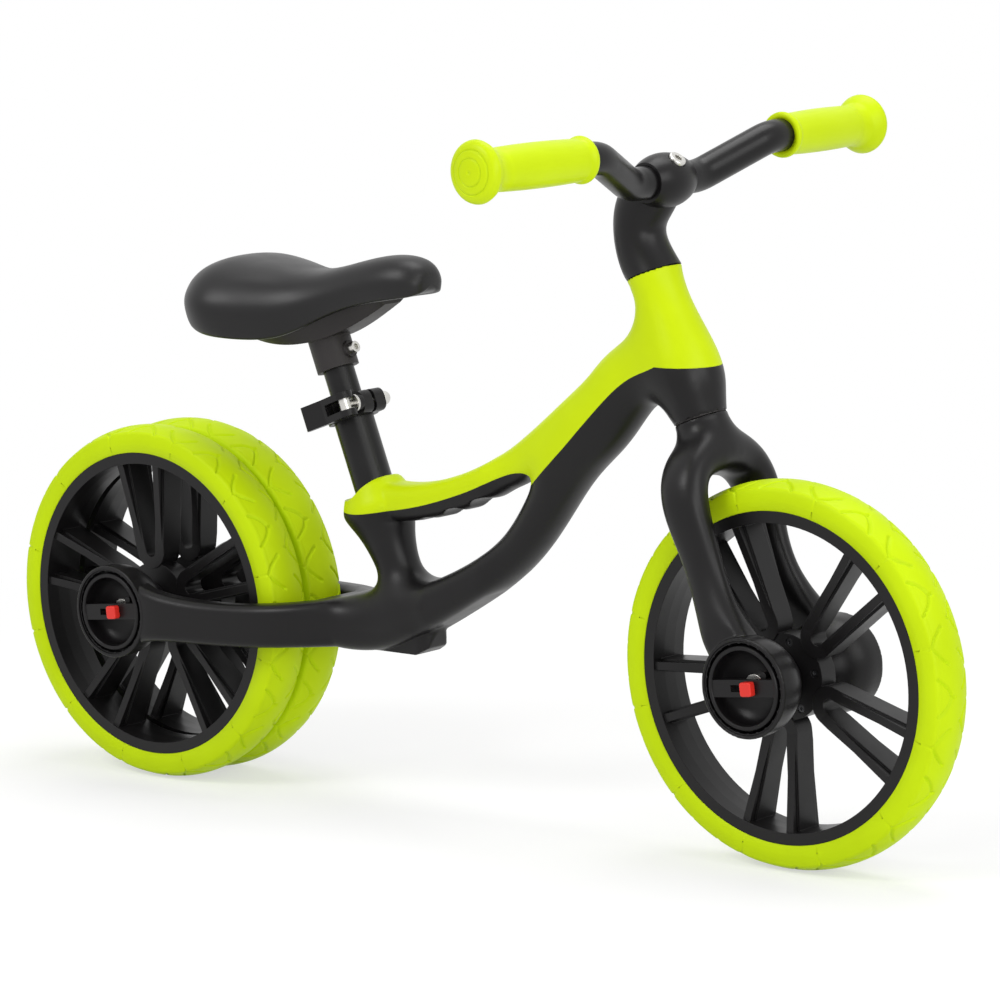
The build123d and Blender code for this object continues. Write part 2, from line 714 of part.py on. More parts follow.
def finger_grooves():
    """Shallow scallops along the handle's rising underside"""
    cuts = []
    for k in range(GROOVE_COUNT):
        along = k * GROOVE_PITCH
        x, z = from_seat(GROOVE_START[0] + along, GROOVE_START[1] + GROOVE_SLOPE * along)
        cutter = Rot(90, 0, 0) * Cylinder(GROOVE_RADIUS, 2 * BEAM_WIDTH)
        cuts.append(Pos(x, 0, z - GROOVE_RADIUS + GROOVE_DEPTH) * cutter)
    return cuts


def pillar():
    """Seat pillar turned about the seat axis: collar, skirt, waist and foot"""
    profile = [
        Line((0, 0, 2), (PILLAR_COLLAR - 2, 0, 2)),
        Line((PILLAR_COLLAR - 2, 0, 2), (PILLAR_COLLAR, 0, 0)),
        Spline(
            (PILLAR_COLLAR, 0, 0),
            (PILLAR_SKIRT, 0, -20),
            (PILLAR_SKIRT - 5.5, 0, -31),
            (PILLAR_WAIST, 0, -58),
            (PILLAR_WAIST + 8, 0, -84),
            tangents=[(0.45, 0, -1), (0.6, 0, -1)],
        ),
        Line((PILLAR_WAIST + 8, 0, -84), (0, 0, -84)),
        Line((0, 0, -84), (0, 0, 2)),
    ]
    return SEAT * lathe(*profile)


def head():
    """Head turned about the steering axis, flaring to the cover's lower edge"""
    lip = HEAD_BOTTOM_S + 22
    profile = [
        Line((0, 0, HEAD_BOTTOM_S), (CROWN_RADIUS, 0, HEAD_BOTTOM_S)),
        Spline(
            (CROWN_RADIUS, 0, HEAD_BOTTOM_S),
            (CROWN_RADIUS + 2.5, 0, HEAD_BOTTOM_S + 9),
            (HEAD_FLARE_RADIUS, 0, lip),
            (HEAD_FLARE_RADIUS - 3, 0, HEAD_BOTTOM_S + 0.6 * HEAD_LENGTH),
            (HEAD_TOP_RADIUS, 0, HEAD_TOP_S),
        ),
        Line((HEAD_TOP_RADIUS, 0, HEAD_TOP_S), (0, 0, HEAD_TOP_S)),
        Line((0, 0, HEAD_TOP_S), (0, 0, HEAD_BOTTOM_S)),
    ]
    return STEER * lathe(*profile)


def stay():
    """Right stay from the beam out past the tyre to the rear boss"""
    tyre_side = REAR_WHEEL_Y + TYRE_WIDTH / 2
    inner = tyre_side + STAY_THICKNESS / 2
    boss_side = REAR_FACE_Y - STAY_THICKNESS * 0.62
    bridge = TYRE_RADIUS + BRIDGE_CLEARANCE
    thick = STAY_THICKNESS
    tall = STAY_HEIGHT
    return loft(
        [
            plan_section(from_rear(bridge + 55, 5), -0.24 * BEAM_WIDTH, 188, thick + 5, tall + 4),
            plan_section(from_rear(bridge + 16, 0), -0.56 * BEAM_WIDTH, 206, thick + 3, tall + 2),
            plan_section(from_rear(bridge - 20, -2), -inner - 1.5, 205, thick, tall),
            plan_section(from_rear(bridge - 55, -3), -inner - 9, 193, thick, tall),
            plan_section(from_rear(BOSS_RADIUS * 1.6, -1.5), -boss_side + 1, 186, thick, tall + 2),
            plan_section(from_rear(BOSS_RADIUS * 0.7, 0), -boss_side, 180, thick + 2, tall + 13),
        ]
    )


def keel():
    """Foot under the beam with a flat pad on its underside"""
    x, z = from_seat(KEEL_AHEAD, -94)
    half = KEEL_PAD_LENGTH / 2
    low = z - 19 - KEEL_DROP
    outline = Polyline(
        (x - half - 16, 0, z),
        (x - half - 12, 0, low + 4),
        (x - half, 0, low),
        (x + half, 0, low),
        (x + half + 9, 0, low + 5),
        (x + half + 15, 0, z),
        close=True,
    )
    block = extrude(make_face(outline), KEEL_WIDTH / 2, both=True)
    plan = Pos(x, 0, low) * SlotOverall(KEEL_PAD_LENGTH + KEEL_WIDTH, KEEL_WIDTH)
    return block & extrude(plan, z)


def cover_region():
    """Everything above the seam between the lime cover and the black body"""
    rear_seam = [(-11, -18), (12, -17), (54, -9.5), (95, 3), (128, 16.5), (143, 20.5)]
    rear = [from_seat(dx, dz) for dx, dz in rear_seam]
    tip = from_head(-133.5, -53)
    front = [from_head(dx, dz) for dx, dz in [(-104.5, -28), (-54.5, 19)]]
    head_edge = from_head(-20, 35.5)
    far = HEAD_X + 90
    top = HEAD_Z + HEAD_LENGTH + 60
    back = SEAT_X - 80

    def at(point):
        return point[0], 0, point[1]

    crest = from_head(-139, -47.5)
    edges = [
        Line((back, 0, rear[0][1]), at(rear[0])),
        Spline(*[at(p) for p in rear], tangents=[(1, 0, 0), (1, 0, 0.2)]),
        ThreePointArc(at(rear[-1]), at(crest), at(tip)),
        Spline(at(tip), *[at(p) for p in front], at(head_edge), tangents=[(1, 0, 0.9), (1, 0, 0)]),
        Polyline(at(head_edge), (far, 0, head_edge[1]), (far, 0, top), (back, 0, top), (back, 0, rear[0][1])),
    ]
    return extrude(make_face(edges), BEAM_WIDTH, both=True)


def stay_region():
    """Everything behind the bridge, where the two stays run on by themselves"""
    front = REAR_X + TYRE_RADIUS + BRIDGE_CLEARANCE - STAY_SPLIT
    length = WHEELBASE
    return Pos(front - length / 2, 0, AXLE_Z) * Box(length, 4 * REAR_FACE_Y, 2 * TYRE_RADIUS)


def frame_bores():
    """Head bore with its bush seats, the seat tube socket and the post bore below it"""
    steer_radius = STEERER_DIAMETER / 2
    bush = steer_radius + BUSH_WALL + PRESS_GAP
    flange = bush + BUSH_FLANGE_RIM
    cuts = rod(steer_radius + 2 * SLIDE_GAP, HEAD_BOTTOM_S - 1, HEAD_TOP_S + 1)
    for end, inward in ((HEAD_BOTTOM_S, 1), (HEAD_TOP_S, -1)):
        for radius, depth in ((bush, BUSH_LENGTH), (flange, BUSH_FLANGE)):
            low, high = sorted((end - inward, end + inward * depth))
            cuts += rod(radius, low, high)
    cuts = STEER * cuts
    socket = rod(SEAT_TUBE_DIAMETER / 2 + PRESS_GAP, -SEAT_TUBE_BELOW, 10)
    socket += rod(POST_RADIUS + SLIDE_GAP, -POST_BELOW - POST_TRAVEL_DOWN - 2, 0)
    return cuts + SEAT * socket


def frame():
    """Whole moulded frame before the cover is split from it"""
    lay = Pos(0, -REAR_FACE_Y, 0) * REAR_AXLE
    right = stay() + lay * boss()
    body = spine() + (handle() - finger_grooves()) + pillar() + head() + keel()
    body += right
    body += mirrored(right)
    body -= lay * boss_cavity()
    body -= mirrored(lay * boss_cavity())
    return body - frame_bores()


# Stem and handlebar


def stem_clamp_place():
    """Centre of the bar clamp in the steering frame"""
    return STEM_REACH, HEAD_TOP_S + STEM_RISE


def stem():
    u, s = stem_clamp_place()
    base = HEAD_TOP_S + RUN_GAP

    def disc(along, height, radius, lean):
        angle = radians(lean)
        plane = Plane(origin=(along, 0, height), x_dir=(0, 1, 0), z_dir=(sin(angle), 0, cos(angle)))
        return plane * Circle(radius)

    neck = loft(
        [
            disc(0, base, STEM_BASE_RADIUS, 0),
            disc(-0.7 * STEM_BOW, base + 0.33 * STEM_RISE, STEM_WAIST_RADIUS, 0),
            disc(0.2 * u - STEM_BOW, base + 0.66 * STEM_RISE, STEM_WAIST_RADIUS, 32),
            disc(0.8 * u, s - 3, STEM_WAIST_RADIUS - 2, 56),
        ]
    )
    half = CLAMP_WIDTH / 2
    mouth = BAR_RADIUS + CLAMP_MOUTH_WALL
    clamp = lathe(
        ThreePointArc((mouth, 0, -half), (CLAMP_RADIUS, 0, 0), (mouth, 0, half)),
        Polyline((mouth, 0, half), (0, 0, half), (0, 0, -half), (mouth, 0, -half)),
    )
    body = neck + Pos(u, 0, s) * Rot(90, 0, 0) * clamp
    body -= Pos(u, 0, s) * Rot(90, 0, 0) * Cylinder(BAR_RADIUS + PRESS_GAP, 2 * CLAMP_WIDTH)
    body -= rod(STEERER_DIAMETER / 2 + PRESS_GAP, base - 1, HEAD_TOP_S + STEERER_IN_STEM + PRESS_GAP)
    return STEER * body - bolt_hole()


def bar_place():
    """Centre of the handlebar's middle, tilted so that local X is the way the bar rises"""
    x, z = steer_point(*stem_clamp_place())
    return Location((x, 0, z), (0, -BAR_RISE_TILT, 0))


def bar_end():
    """Right end of the bar in the bar's frame, swept back a little from the bend"""
    back = (BAR_LENGTH / 2 - BAR_RISE_AT) * tan(radians(BAR_SWEEP))
    lean = radians(BAR_RISE_TILT)
    return Vector(BAR_RISE - back * cos(lean), -BAR_LENGTH / 2, back * sin(lean))


def bar_path():
    right_end = bar_end()
    left_end = Vector(right_end.X, -right_end.Y, right_end.Z)
    points = [
        right_end,
        (BAR_RISE, -BAR_RISE_AT, 0),
        (0, -BAR_CENTRE / 2, 0),
        (0, BAR_CENTRE / 2, 0),
        (BAR_RISE, BAR_RISE_AT, 0),
        left_end,
    ]
    return FilletPolyline(*points, radius=BAR_BEND_RADIUS)


def handlebar():
    path = bar_path()
    start = Plane(origin=path @ 0, z_dir=path % 0)
    outside = sweep(start * Circle(BAR_RADIUS), path=path)
    inside = sweep(start * Circle(BAR_RADIUS - BAR_WALL), path=path)
    return bar_place() * (outside - inside) - bolt_hole()


def bolt_place():
    """Seat of the bar bolt's head, on top of the clamp along the way the bar rises"""
    return bar_place() * Pos(CLAMP_RADIUS - BAR_BOLT_HEAD_LENGTH * 0.75, 0, 0) * Rot(0, 90, 0)


def bolt_hole():
    """Counterbore and clearance hole for the bar bolt"""
    hole = rod(BAR_BOLT_SHANK / 2 + PRESS_GAP, -CLAMP_RADIUS * 0.62, 1)
    hole += rod(BAR_BOLT_HEAD / 2 + SLIDE_GAP, 0, 2 * BAR_BOLT_HEAD_LENGTH)
    return bolt_place() * hole


def handlebar_bolt():
    head = rod(BAR_BOLT_HEAD / 2, 0, BAR_BOLT_HEAD_LENGTH)
    head = fillet(head.faces().sort_by(Axis.Z)[-1].edges(), BAR_BOLT_HEAD_LENGTH / 6)
    head -= Pos(0, 0, BAR_BOLT_HEAD_LENGTH * 0.45) * extrude(
        RegularPolygon(BAR_BOLT_HEX / 2, 6, major_radius=False), BAR_BOLT_HEAD_LENGTH
    )
    shank = rod(BAR_BOLT_SHANK / 2, -CLAMP_RADIUS * 0.6, 0)
    return bolt_place() * (head + shank)


def grip():
    """Rubber grip about Z: flange, bulged body and ringed end knob, with Z = 0 at the bar's end"""
    bore = BAR_RADIUS + PRESS_GAP
    start = GRIP_END_WALL - GRIP_LENGTH
    flange_end = start + GRIP_FLANGE_WIDTH
    knob_start = GRIP_END_WALL - GRIP_KNOB_WIDTH
    neck = knob_start - 5
    middle = (start + knob_start) / 2
    round_edge = GRIP_KNOB_WIDTH / 2.6
    flange = GRIP_FLANGE / 2
    body = GRIP_BODY / 2
    end_knob = GRIP_KNOB / 2
    profile = [
        Polyline((0, 0, PRESS_GAP), (bore, 0, PRESS_GAP), (bore, 0, start), (flange - 1, 0, start)),
        ThreePointArc(
            (flange - 1, 0, start),
            (flange, 0, (start + flange_end) / 2),
            (flange - 1, 0, flange_end),
        ),
        Line((flange - 1, 0, flange_end), (body, 0, flange_end + 1)),
        ThreePointArc((body, 0, flange_end + 1), (GRIP_BULGE / 2, 0, middle), (body, 0, neck)),
        ThreePointArc((body, 0, neck), (body + 2.2, 0, neck + 3.8), (end_knob - 2, 0, knob_start + 2)),
        ThreePointArc(
            (end_knob - 2, 0, knob_start + 2),
            (end_knob, 0, knob_start + GRIP_KNOB_WIDTH / 2.4),
            (end_knob - 2, 0, GRIP_END_WALL - round_edge),
        ),
        ThreePointArc(
            (end_knob - 2, 0, GRIP_END_WALL - round_edge),
            (end_knob - 4.6, 0, GRIP_END_WALL - 1.6),
            (end_knob - 8, 0, GRIP_END_WALL),
        ),
        Line((end_knob - 8, 0, GRIP_END_WALL), (0, 0, GRIP_END_WALL)),
        Line((0, 0, GRIP_END_WALL), (0, 0, PRESS_GAP)),
    ]
    return lathe(*profile)


def right_grip():
    end = bar_end()
    outward = end - Vector(BAR_RISE, -BAR_RISE_AT, 0)
    return bar_place() * Plane(origin=end, z_dir=outward).location * grip()


# Seat tube, clamp, post and saddle, built in the seat frame: X ahead, Z up the tube


def seat_tube():
    radius = SEAT_TUBE_DIAMETER / 2
    return SEAT * ring(radius, radius - SEAT_TUBE_WALL, -SEAT_TUBE_BELOW, SEAT_TUBE_ABOVE)


def seat_shim():
    outer = SEAT_TUBE_DIAMETER / 2 - SEAT_TUBE_WALL - PRESS_GAP
    return SEAT * ring(outer, POST_RADIUS + SHAFT_GAP, SEAT_TUBE_ABOVE - SHIM_LENGTH, SEAT_TUBE_ABOVE)


def clamp_middle():
    """Height of the clamp's middle along the seat tube"""
    return SEAT_TUBE_ABOVE - SEAT_CLAMP_HEIGHT / 2 + 1.5


def seat_clamp():
    """Split band with two ears at the front, and a lip over the tube's end"""
    inner = SEAT_TUBE_DIAMETER / 2 + PRESS_GAP
    outer = inner + SEAT_CLAMP_WALL
    low = clamp_middle() - SEAT_CLAMP_HEIGHT / 2
    high = low + SEAT_CLAMP_HEIGHT
    body = rod(outer, low, high)
    ear_end = CLAMP_BOLT_AHEAD + EAR_LENGTH / 2
    ears = Pos(ear_end / 2, 0, clamp_middle())
    ears *= Box(ear_end, 2 * EAR_THICKNESS + SEAT_CLAMP_SLIT, SEAT_CLAMP_HEIGHT)
    ears = fillet(ears.edges().filter_by(Axis.Y).group_by(Axis.X)[-1], SEAT_CLAMP_HEIGHT / 3)
    body += ears
    body -= rod(inner, low - 1, SEAT_TUBE_ABOVE + PRESS_GAP)
    body -= rod(POST_RADIUS + SLIDE_GAP, low, high + 1)
    body -= Pos(ear_end, 0, clamp_middle()) * Box(2 * ear_end, SEAT_CLAMP_SLIT, 2 * SEAT_CLAMP_HEIGHT)
    hole = Rot(90, 0, 0) * Cylinder(CLAMP_BOLT_DIAMETER / 2 + PRESS_GAP, 4 * EAR_THICKNESS + 20)
    return SEAT * (body - Pos(CLAMP_BOLT_AHEAD, 0, clamp_middle()) * hole)


def clamp_bolt_place():
    """Bolt axis through the ears, with local Z towards the lever side"""
    return SEAT * Pos(CLAMP_BOLT_AHEAD, 0, clamp_middle()) * Rot(90, 0, 0)


def ear_face():
    return SEAT_CLAMP_SLIT / 2 + EAR_THICKNESS


def clamp_bolt():
    bolt = rod(CLAMP_BOLT_DIAMETER / 2, -ear_face() - NUT_LENGTH * 0.7, BARREL_OUT + BARREL_DIAMETER * 0.3)
    return clamp_bolt_place() * bolt


def clamp_nut():
    """Domed nut on the bolt's far end"""
    face = -ear_face()
    nut = rod(NUT_DIAMETER / 2, face - NUT_LENGTH, face)
    nut = fillet(nut.faces().sort_by(Axis.Z)[0].edges(), NUT_LENGTH * 0.45)
    nut -= rod(CLAMP_BOLT_DIAMETER / 2 + PRESS_GAP, face - NUT_LENGTH * 0.72, face)
    return clamp_bolt_place() * nut


def clamp_bush():
    """Bush on the bolt, between the near ear and the lever's eye"""
    end = BARREL_OUT - LEVER_EYE_RADIUS - SLIDE_GAP
    bore = CLAMP_BOLT_DIAMETER / 2 + SHAFT_GAP
    return clamp_bolt_place() * ring(BUSH_DIAMETER / 2, bore, ear_face(), end - CLAMP_WASHER_WIDTH)


def clamp_washer():
    end = BARREL_OUT - LEVER_EYE_RADIUS - SLIDE_GAP
    bore = CLAMP_BOLT_DIAMETER / 2 + SHAFT_GAP
    return clamp_bolt_place() * ring(CLAMP_WASHER_DIAMETER / 2, bore, end - CLAMP_WASHER_WIDTH, end)


def clamp_barrel():
    """Cross pin on the bolt's near end, which the lever turns on"""
    barrel = Rot(90, 0, 0) * Cylinder(BARREL_DIAMETER / 2, BARREL_LENGTH)
    barrel = Pos(0, 0, BARREL_OUT) * barrel
    hole = rod(CLAMP_BOLT_DIAMETER / 2 + PRESS_GAP, 0, BARREL_OUT + BARREL_DIAMETER * 0.3 + PRESS_GAP)
    return clamp_bolt_place() * (barrel - hole)


def clamp_lever():
    """Cam lever: a forked eye on the barrel and a curved arm lying along the clamp"""
    eye = Circle(LEVER_EYE_RADIUS)
    middle = Pos(-LEVER_REACH / 2, -LEVER_FLARE / 2) * Circle(LEVER_THICKNESS / 2)
    tip = Pos(-LEVER_REACH, -LEVER_FLARE) * Circle(LEVER_TIP_THICKNESS / 2)
    outline = make_hull(eye.edges() + middle.edges()) + make_hull(middle.edges() + tip.edges())
    lever = extrude(outline, LEVER_HEIGHT / 2, both=True)
    slot_length = LEVER_SLOT_BACK + 2 * LEVER_EYE_RADIUS
    slot = Pos(slot_length / 2 - LEVER_SLOT_BACK, 0, 0) * Box(slot_length, 4 * LEVER_EYE_RADIUS, LEVER_SLOT)
    lever -= slot
    lever -= Cylinder(BARREL_DIAMETER / 2 + SHAFT_GAP, 2 * LEVER_HEIGHT)
    return SEAT * Pos(CLAMP_BOLT_AHEAD, -BARREL_OUT, clamp_middle()) * lever


def collar_base():
    """Height of the saddle collar's lower face along the seat tube"""
    return clamp_middle() + SEAT_CLAMP_HEIGHT / 2 + POST_EXPOSED


def seat_post():
    low = -POST_BELOW
    high = collar_base() + POST_IN_COLLAR
    return SEAT * ring(POST_RADIUS, POST_RADIUS - POST_WALL, low, high)


def saddle_place():
    """World x and z of the saddle's underside above the collar"""
    tilt = radians(SEAT_TILT)
    top = collar_base() + COLLAR_HEIGHT
    return SEAT_X - top * sin(tilt), SEAT_Z + top * cos(tilt)


def saddle_stations():
    """Cross sections from tail to nose: x, half width, top, bottom and depth of the hollow"""
    x, z = saddle_place()
    nose = x + SADDLE_NOSE_AHEAD
    low = z + SADDLE_ABOVE_COLLAR - 9
    top = low + SADDLE_DEPTH
    wide = SADDLE_HALF_WIDTH
    slim = SADDLE_NOSE_HALF_WIDTH
    length = SADDLE_LENGTH
    return [
        (nose - length, 0.38 * wide, top - 18, low + 11, 1.0),
        (nose - 0.95 * length, 0.76 * wide, top - 7, low + 1, 4.0),
        (nose - 0.84 * length, wide, top, low - 6, 8.0),
        (nose - 0.68 * length, 0.87 * wide, top - 4, low - 10.5, 10.0),
        (nose - 0.51 * length, 0.62 * wide, top - 8, low - 5, 9.0),
        (nose - 0.35 * length, slim + 4, top - 3, low + 11, 5.0),
        (nose - 0.18 * length, slim, top + 5, low + 20, 2.0),
        (nose - 0.07 * length, 0.82 * slim, top + 3, low + 23, 1.0),
        (nose, 0.36 * slim, top - 9, low + 27, 1.0),
    ]


def hollow_half(half):
    """Half width of the hollow under the cushion, inside its skirt"""
    tuck = SADDLE_TUCK * half
    return tuck - min(SADDLE_SKIRT, tuck / 3)


def saddle_section(x, half, top, low, hollow):
    """Crowned section with drawn-in sides and a skirt round the hollow that takes the pan"""
    height = top - low
    tuck = SADDLE_TUCK * half
    inner = hollow_half(half)
    shoulder = 0.80 * half
    shoulder_z = low + 0.80 * height
    plane = Plane(origin=(x, 0, 0), x_dir=(0, 1, 0), z_dir=(1, 0, 0))
    wire = [
        Polyline((-tuck, low), (-inner, low), (-inner, low + hollow)),
        Polyline((-inner, low + hollow), (inner, low + hollow), (inner, low), (tuck, low)),
        ThreePointArc((tuck, low), (half, low + 0.38 * height), (shoulder, shoulder_z)),
        ThreePointArc((shoulder, shoulder_z), (0, top), (-shoulder, shoulder_z)),
        ThreePointArc((-shoulder, shoulder_z), (-half, low + 0.38 * height), (-tuck, low)),
    ]
    return plane * make_face(wire)


def saddle_cushion():
    return loft([saddle_section(*station) for station in saddle_stations()])


def saddle_pan():
    """Boat-shaped pan in the cushion's hollow, deepest over the collar"""
    sections = []
    for (x, half, top, low, hollow), (drop, keel_half) in zip(saddle_stations()[2:-2], SADDLE_PAN_KEEL):
        rim_half = hollow_half(half) - SADDLE_PAN_GAP
        rim_z = low + hollow - SADDLE_PAN_GAP
        edge_z = rim_z - SADDLE_PAN_EDGE
        keel_z = low - drop
        plane = Plane(origin=(x, 0, 0), x_dir=(0, 1, 0), z_dir=(1, 0, 0))
        right = [(rim_half, rim_z), (rim_half, edge_z), (keel_half, keel_z)]
        left = [(-y, z) for y, z in reversed(right)]
        sections.append(plane * make_face(Polyline(*right, *left, close=True)))
    return loft(sections)


def saddle_base():
    """Plastic pan under the cushion and the collar that grips the post"""
    low = collar_base()
    collar = rod(COLLAR_DIAMETER / 2, low, low + COLLAR_HEIGHT + COLLAR_IN_PAN)
    bore = rod(POST_RADIUS + PRESS_GAP, low - 1, low + POST_IN_COLLAR + PRESS_GAP)
    body = saddle_pan() + SEAT * collar
    body += saddle_bolt_place() * rod(SADDLE_BOSS_DIAMETER / 2, -COLLAR_DIAMETER / 2, 0)
    return body - SEAT * bore - saddle_bolt_hole()


def saddle_bolt_place():
    """Face of the boss at the front of the collar, with local Z pointing ahead"""
    face = COLLAR_DIAMETER / 2 + SADDLE_BOSS_PROUD
    return SEAT * Pos(face, 0, collar_base() + SADDLE_BOLT_UP) * Rot(0, 90, 0)


def saddle_bolt_depth():
    """Length of the bolt's shank from the boss face to the post"""
    return COLLAR_DIAMETER / 2 + SADDLE_BOSS_PROUD - POST_RADIUS - PRESS_GAP


def saddle_bolt_hole():
    """Hole from the boss face through to the middle of the post's bore"""
    depth = saddle_bolt_depth()
    return saddle_bolt_place() * rod(SADDLE_BOLT_DIAMETER / 2 + PRESS_GAP, -depth - POST_RADIUS, depth)


def saddle_bolt():
    """Socket head bolt that presses on the post through the collar"""
    head = rod(SADDLE_BOLT_HEAD / 2, 0, SADDLE_BOLT_HEAD_LENGTH)
    socket = extrude(RegularPolygon(SADDLE_BOLT_HEAD * 0.28, 6), SADDLE_BOLT_HEAD_LENGTH)
    head -= Pos(0, 0, SADDLE_BOLT_HEAD_LENGTH * 0.45) * socket
    shank = rod(SADDLE_BOLT_DIAMETER / 2, -saddle_bolt_depth(), 0)
    return saddle_bolt_place() * (head + shank)


# Every node, by name


def wheel_nodes(name, place, phase):
    return {
        f"{name}_tyre": place * tyre(),
        f"{name}_rim": place * rim(phase),
        f"{name}_bearings": [place * bearing for bearing in bearings()],
    }


def knob_nodes(name, place, far_face_y, near_face_y):
    """Quick-release nodes of one axle, on the near boss face"""
    face = place * Pos(0, 0, near_face_y) * Rot(0, 0, KNOB_TURN)
    far_end = -near_face_y - far_face_y - axle_end_in_cap()
    return {
        f"{name}_knob": face * knob(),
        f"{name}_axle": face * axle(far_end),
        f"{name}_detent_ring": face * detent_ring(),
        f"{name}_latch_pin": face * latch_pin(),
        f"{name}_button": face * button(),
        f"{name}_axle_cap": mirrored(face * axle_cap()),
    }


def all_nodes():
    nodes = {}
    whole_frame = frame()
    cover = cover_region()
    rear = stay_region()
    nodes["frame_body"] = whole_frame - cover - rear
    nodes["frame_cover"] = whole_frame & cover
    nodes["right_stay"], nodes["left_stay"] = (whole_frame & rear).solids().sort_by(Axis.Y)
    nodes["seat_tube"] = seat_tube()
    nodes["seat_shim"] = seat_shim()
    nodes["seat_clamp"] = seat_clamp()
    nodes["clamp_bolt"] = clamp_bolt()
    nodes["clamp_barrel"] = clamp_barrel()
    nodes["clamp_nut"] = clamp_nut()
    nodes["clamp_bush"] = clamp_bush()
    nodes["clamp_washer"] = clamp_washer()
    nodes["clamp_lever"] = clamp_lever()
    nodes["upper_head_bush"] = upper_head_bush()
    nodes["lower_head_bush"] = lower_head_bush()
    nodes["seat_post"] = seat_post()
    nodes["saddle_base"] = saddle_base()
    nodes["saddle_cushion"] = saddle_cushion()
    nodes["saddle_bolt"] = saddle_bolt()
    nodes["fork"] = fork()
    nodes["steerer_tube"] = steerer_tube()
    nodes["stem"] = stem()
    nodes["handlebar"] = handlebar()
    nodes["handlebar_bolt"] = handlebar_bolt()
    nodes["right_grip"] = right_grip()
    nodes["left_grip"] = mirrored(right_grip())
    nodes.update(wheel_nodes("front", FRONT_AXLE, FRONT_SPOKE_PHASE))
    nodes.update(wheel_nodes("rear_right", Pos(0, -REAR_WHEEL_Y, 0) * REAR_AXLE, REAR_SPOKE_PHASE))
    nodes.update(wheel_nodes("rear_left", Pos(0, REAR_WHEEL_Y, 0) * REAR_AXLE, REAR_SPOKE_PHASE))
    nodes["front_rim"] -= [FRONT_AXLE * hole for hole in hub_screw_holes()]
    nodes["front_hub_screws"] = [FRONT_AXLE * screw for screw in hub_screws()]
    nodes.update(knob_nodes("front", FRONT_AXLE, FRONT_FACE_Y, FRONT_FACE_Y))
    nodes.update(knob_nodes("rear", REAR_AXLE, REAR_FACE_Y, REAR_FACE_Y))
    hub_face = HUB_WIDTH / 2 + RUN_GAP
    nodes["front_washers"] = [FRONT_AXLE * washer for washer in washers(hub_face, BOSS_TAIL)]
    rear_washers = washers(REAR_WHEEL_Y + hub_face, REAR_WHEEL_Y + BOSS_TAIL)
    nodes["rear_washers"] = [REAR_AXLE * washer for washer in rear_washers]
    spacer_half = REAR_WHEEL_Y - hub_face
    spacer = ring(WASHER_OUTER / 2, AXLE_DIAMETER / 2 + SHAFT_GAP, -spacer_half, spacer_half)
    nodes["rear_hub_spacer"] = REAR_AXLE * spacer
    return nodes


def main():
    os.makedirs("parts", exist_ok=True)
    for name, shape in all_nodes().items():
        solids = shape if isinstance(shape, list) else [shape]
        export_step(Compound([solid for part in solids for solid in part.solids()]), f"parts/{name}.step")


main()
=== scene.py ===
"""Looks of a child's balance bike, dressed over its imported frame."""

import logging
import math
from collections.abc import Callable
from dataclasses import dataclass, replace
from enum import Enum
from functools import cache

import bmesh
import bpy
import numpy as np
from mathutils import Matrix, Vector


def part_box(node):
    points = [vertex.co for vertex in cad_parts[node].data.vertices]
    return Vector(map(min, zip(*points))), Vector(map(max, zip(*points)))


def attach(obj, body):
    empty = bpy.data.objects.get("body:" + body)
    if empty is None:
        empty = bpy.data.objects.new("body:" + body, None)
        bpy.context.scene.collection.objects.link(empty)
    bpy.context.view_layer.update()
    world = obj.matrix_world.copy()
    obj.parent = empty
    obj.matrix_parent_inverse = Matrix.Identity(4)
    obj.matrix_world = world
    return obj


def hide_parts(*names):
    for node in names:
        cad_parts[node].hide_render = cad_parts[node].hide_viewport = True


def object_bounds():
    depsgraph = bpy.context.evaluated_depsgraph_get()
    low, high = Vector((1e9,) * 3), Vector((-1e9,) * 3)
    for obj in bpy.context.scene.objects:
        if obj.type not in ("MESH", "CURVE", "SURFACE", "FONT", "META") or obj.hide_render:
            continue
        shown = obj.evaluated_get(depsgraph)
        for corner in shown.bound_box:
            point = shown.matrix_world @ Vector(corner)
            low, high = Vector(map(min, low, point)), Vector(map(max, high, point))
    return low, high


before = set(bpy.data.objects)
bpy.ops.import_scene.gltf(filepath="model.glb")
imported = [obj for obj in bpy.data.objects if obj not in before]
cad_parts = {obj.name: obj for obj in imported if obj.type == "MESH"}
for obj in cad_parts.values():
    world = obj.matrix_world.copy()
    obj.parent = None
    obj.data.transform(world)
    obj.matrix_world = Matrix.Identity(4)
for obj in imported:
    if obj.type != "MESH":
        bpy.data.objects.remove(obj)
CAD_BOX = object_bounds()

MM = 0.001
NOISE_LOW, NOISE_HIGH = 0.3, 0.7
COLOUR_CLOUD = 45 * MM
GLOSS_CLOUD = 30 * MM
STREAK_SCALE = (1.0, 0.08, 1.0)
PEEL_DETAIL, STIPPLE_DETAIL = 1.0, 4.0
SHARP_ANGLE = math.radians(40)
WHITE = (1.0, 1.0, 1.0, 1.0)
log = logging.getLogger("balance_bike")

Colour = tuple[float, float, float]
Spot = tuple[float, float]


class Grain(Enum):
    """Ways the fine relief of a surface is made."""

    STIPPLE = "stipple"
    PORES = "pores"
    CREASES = "creases"
    PEEL = "peel"
    STREAKS = "streaks"


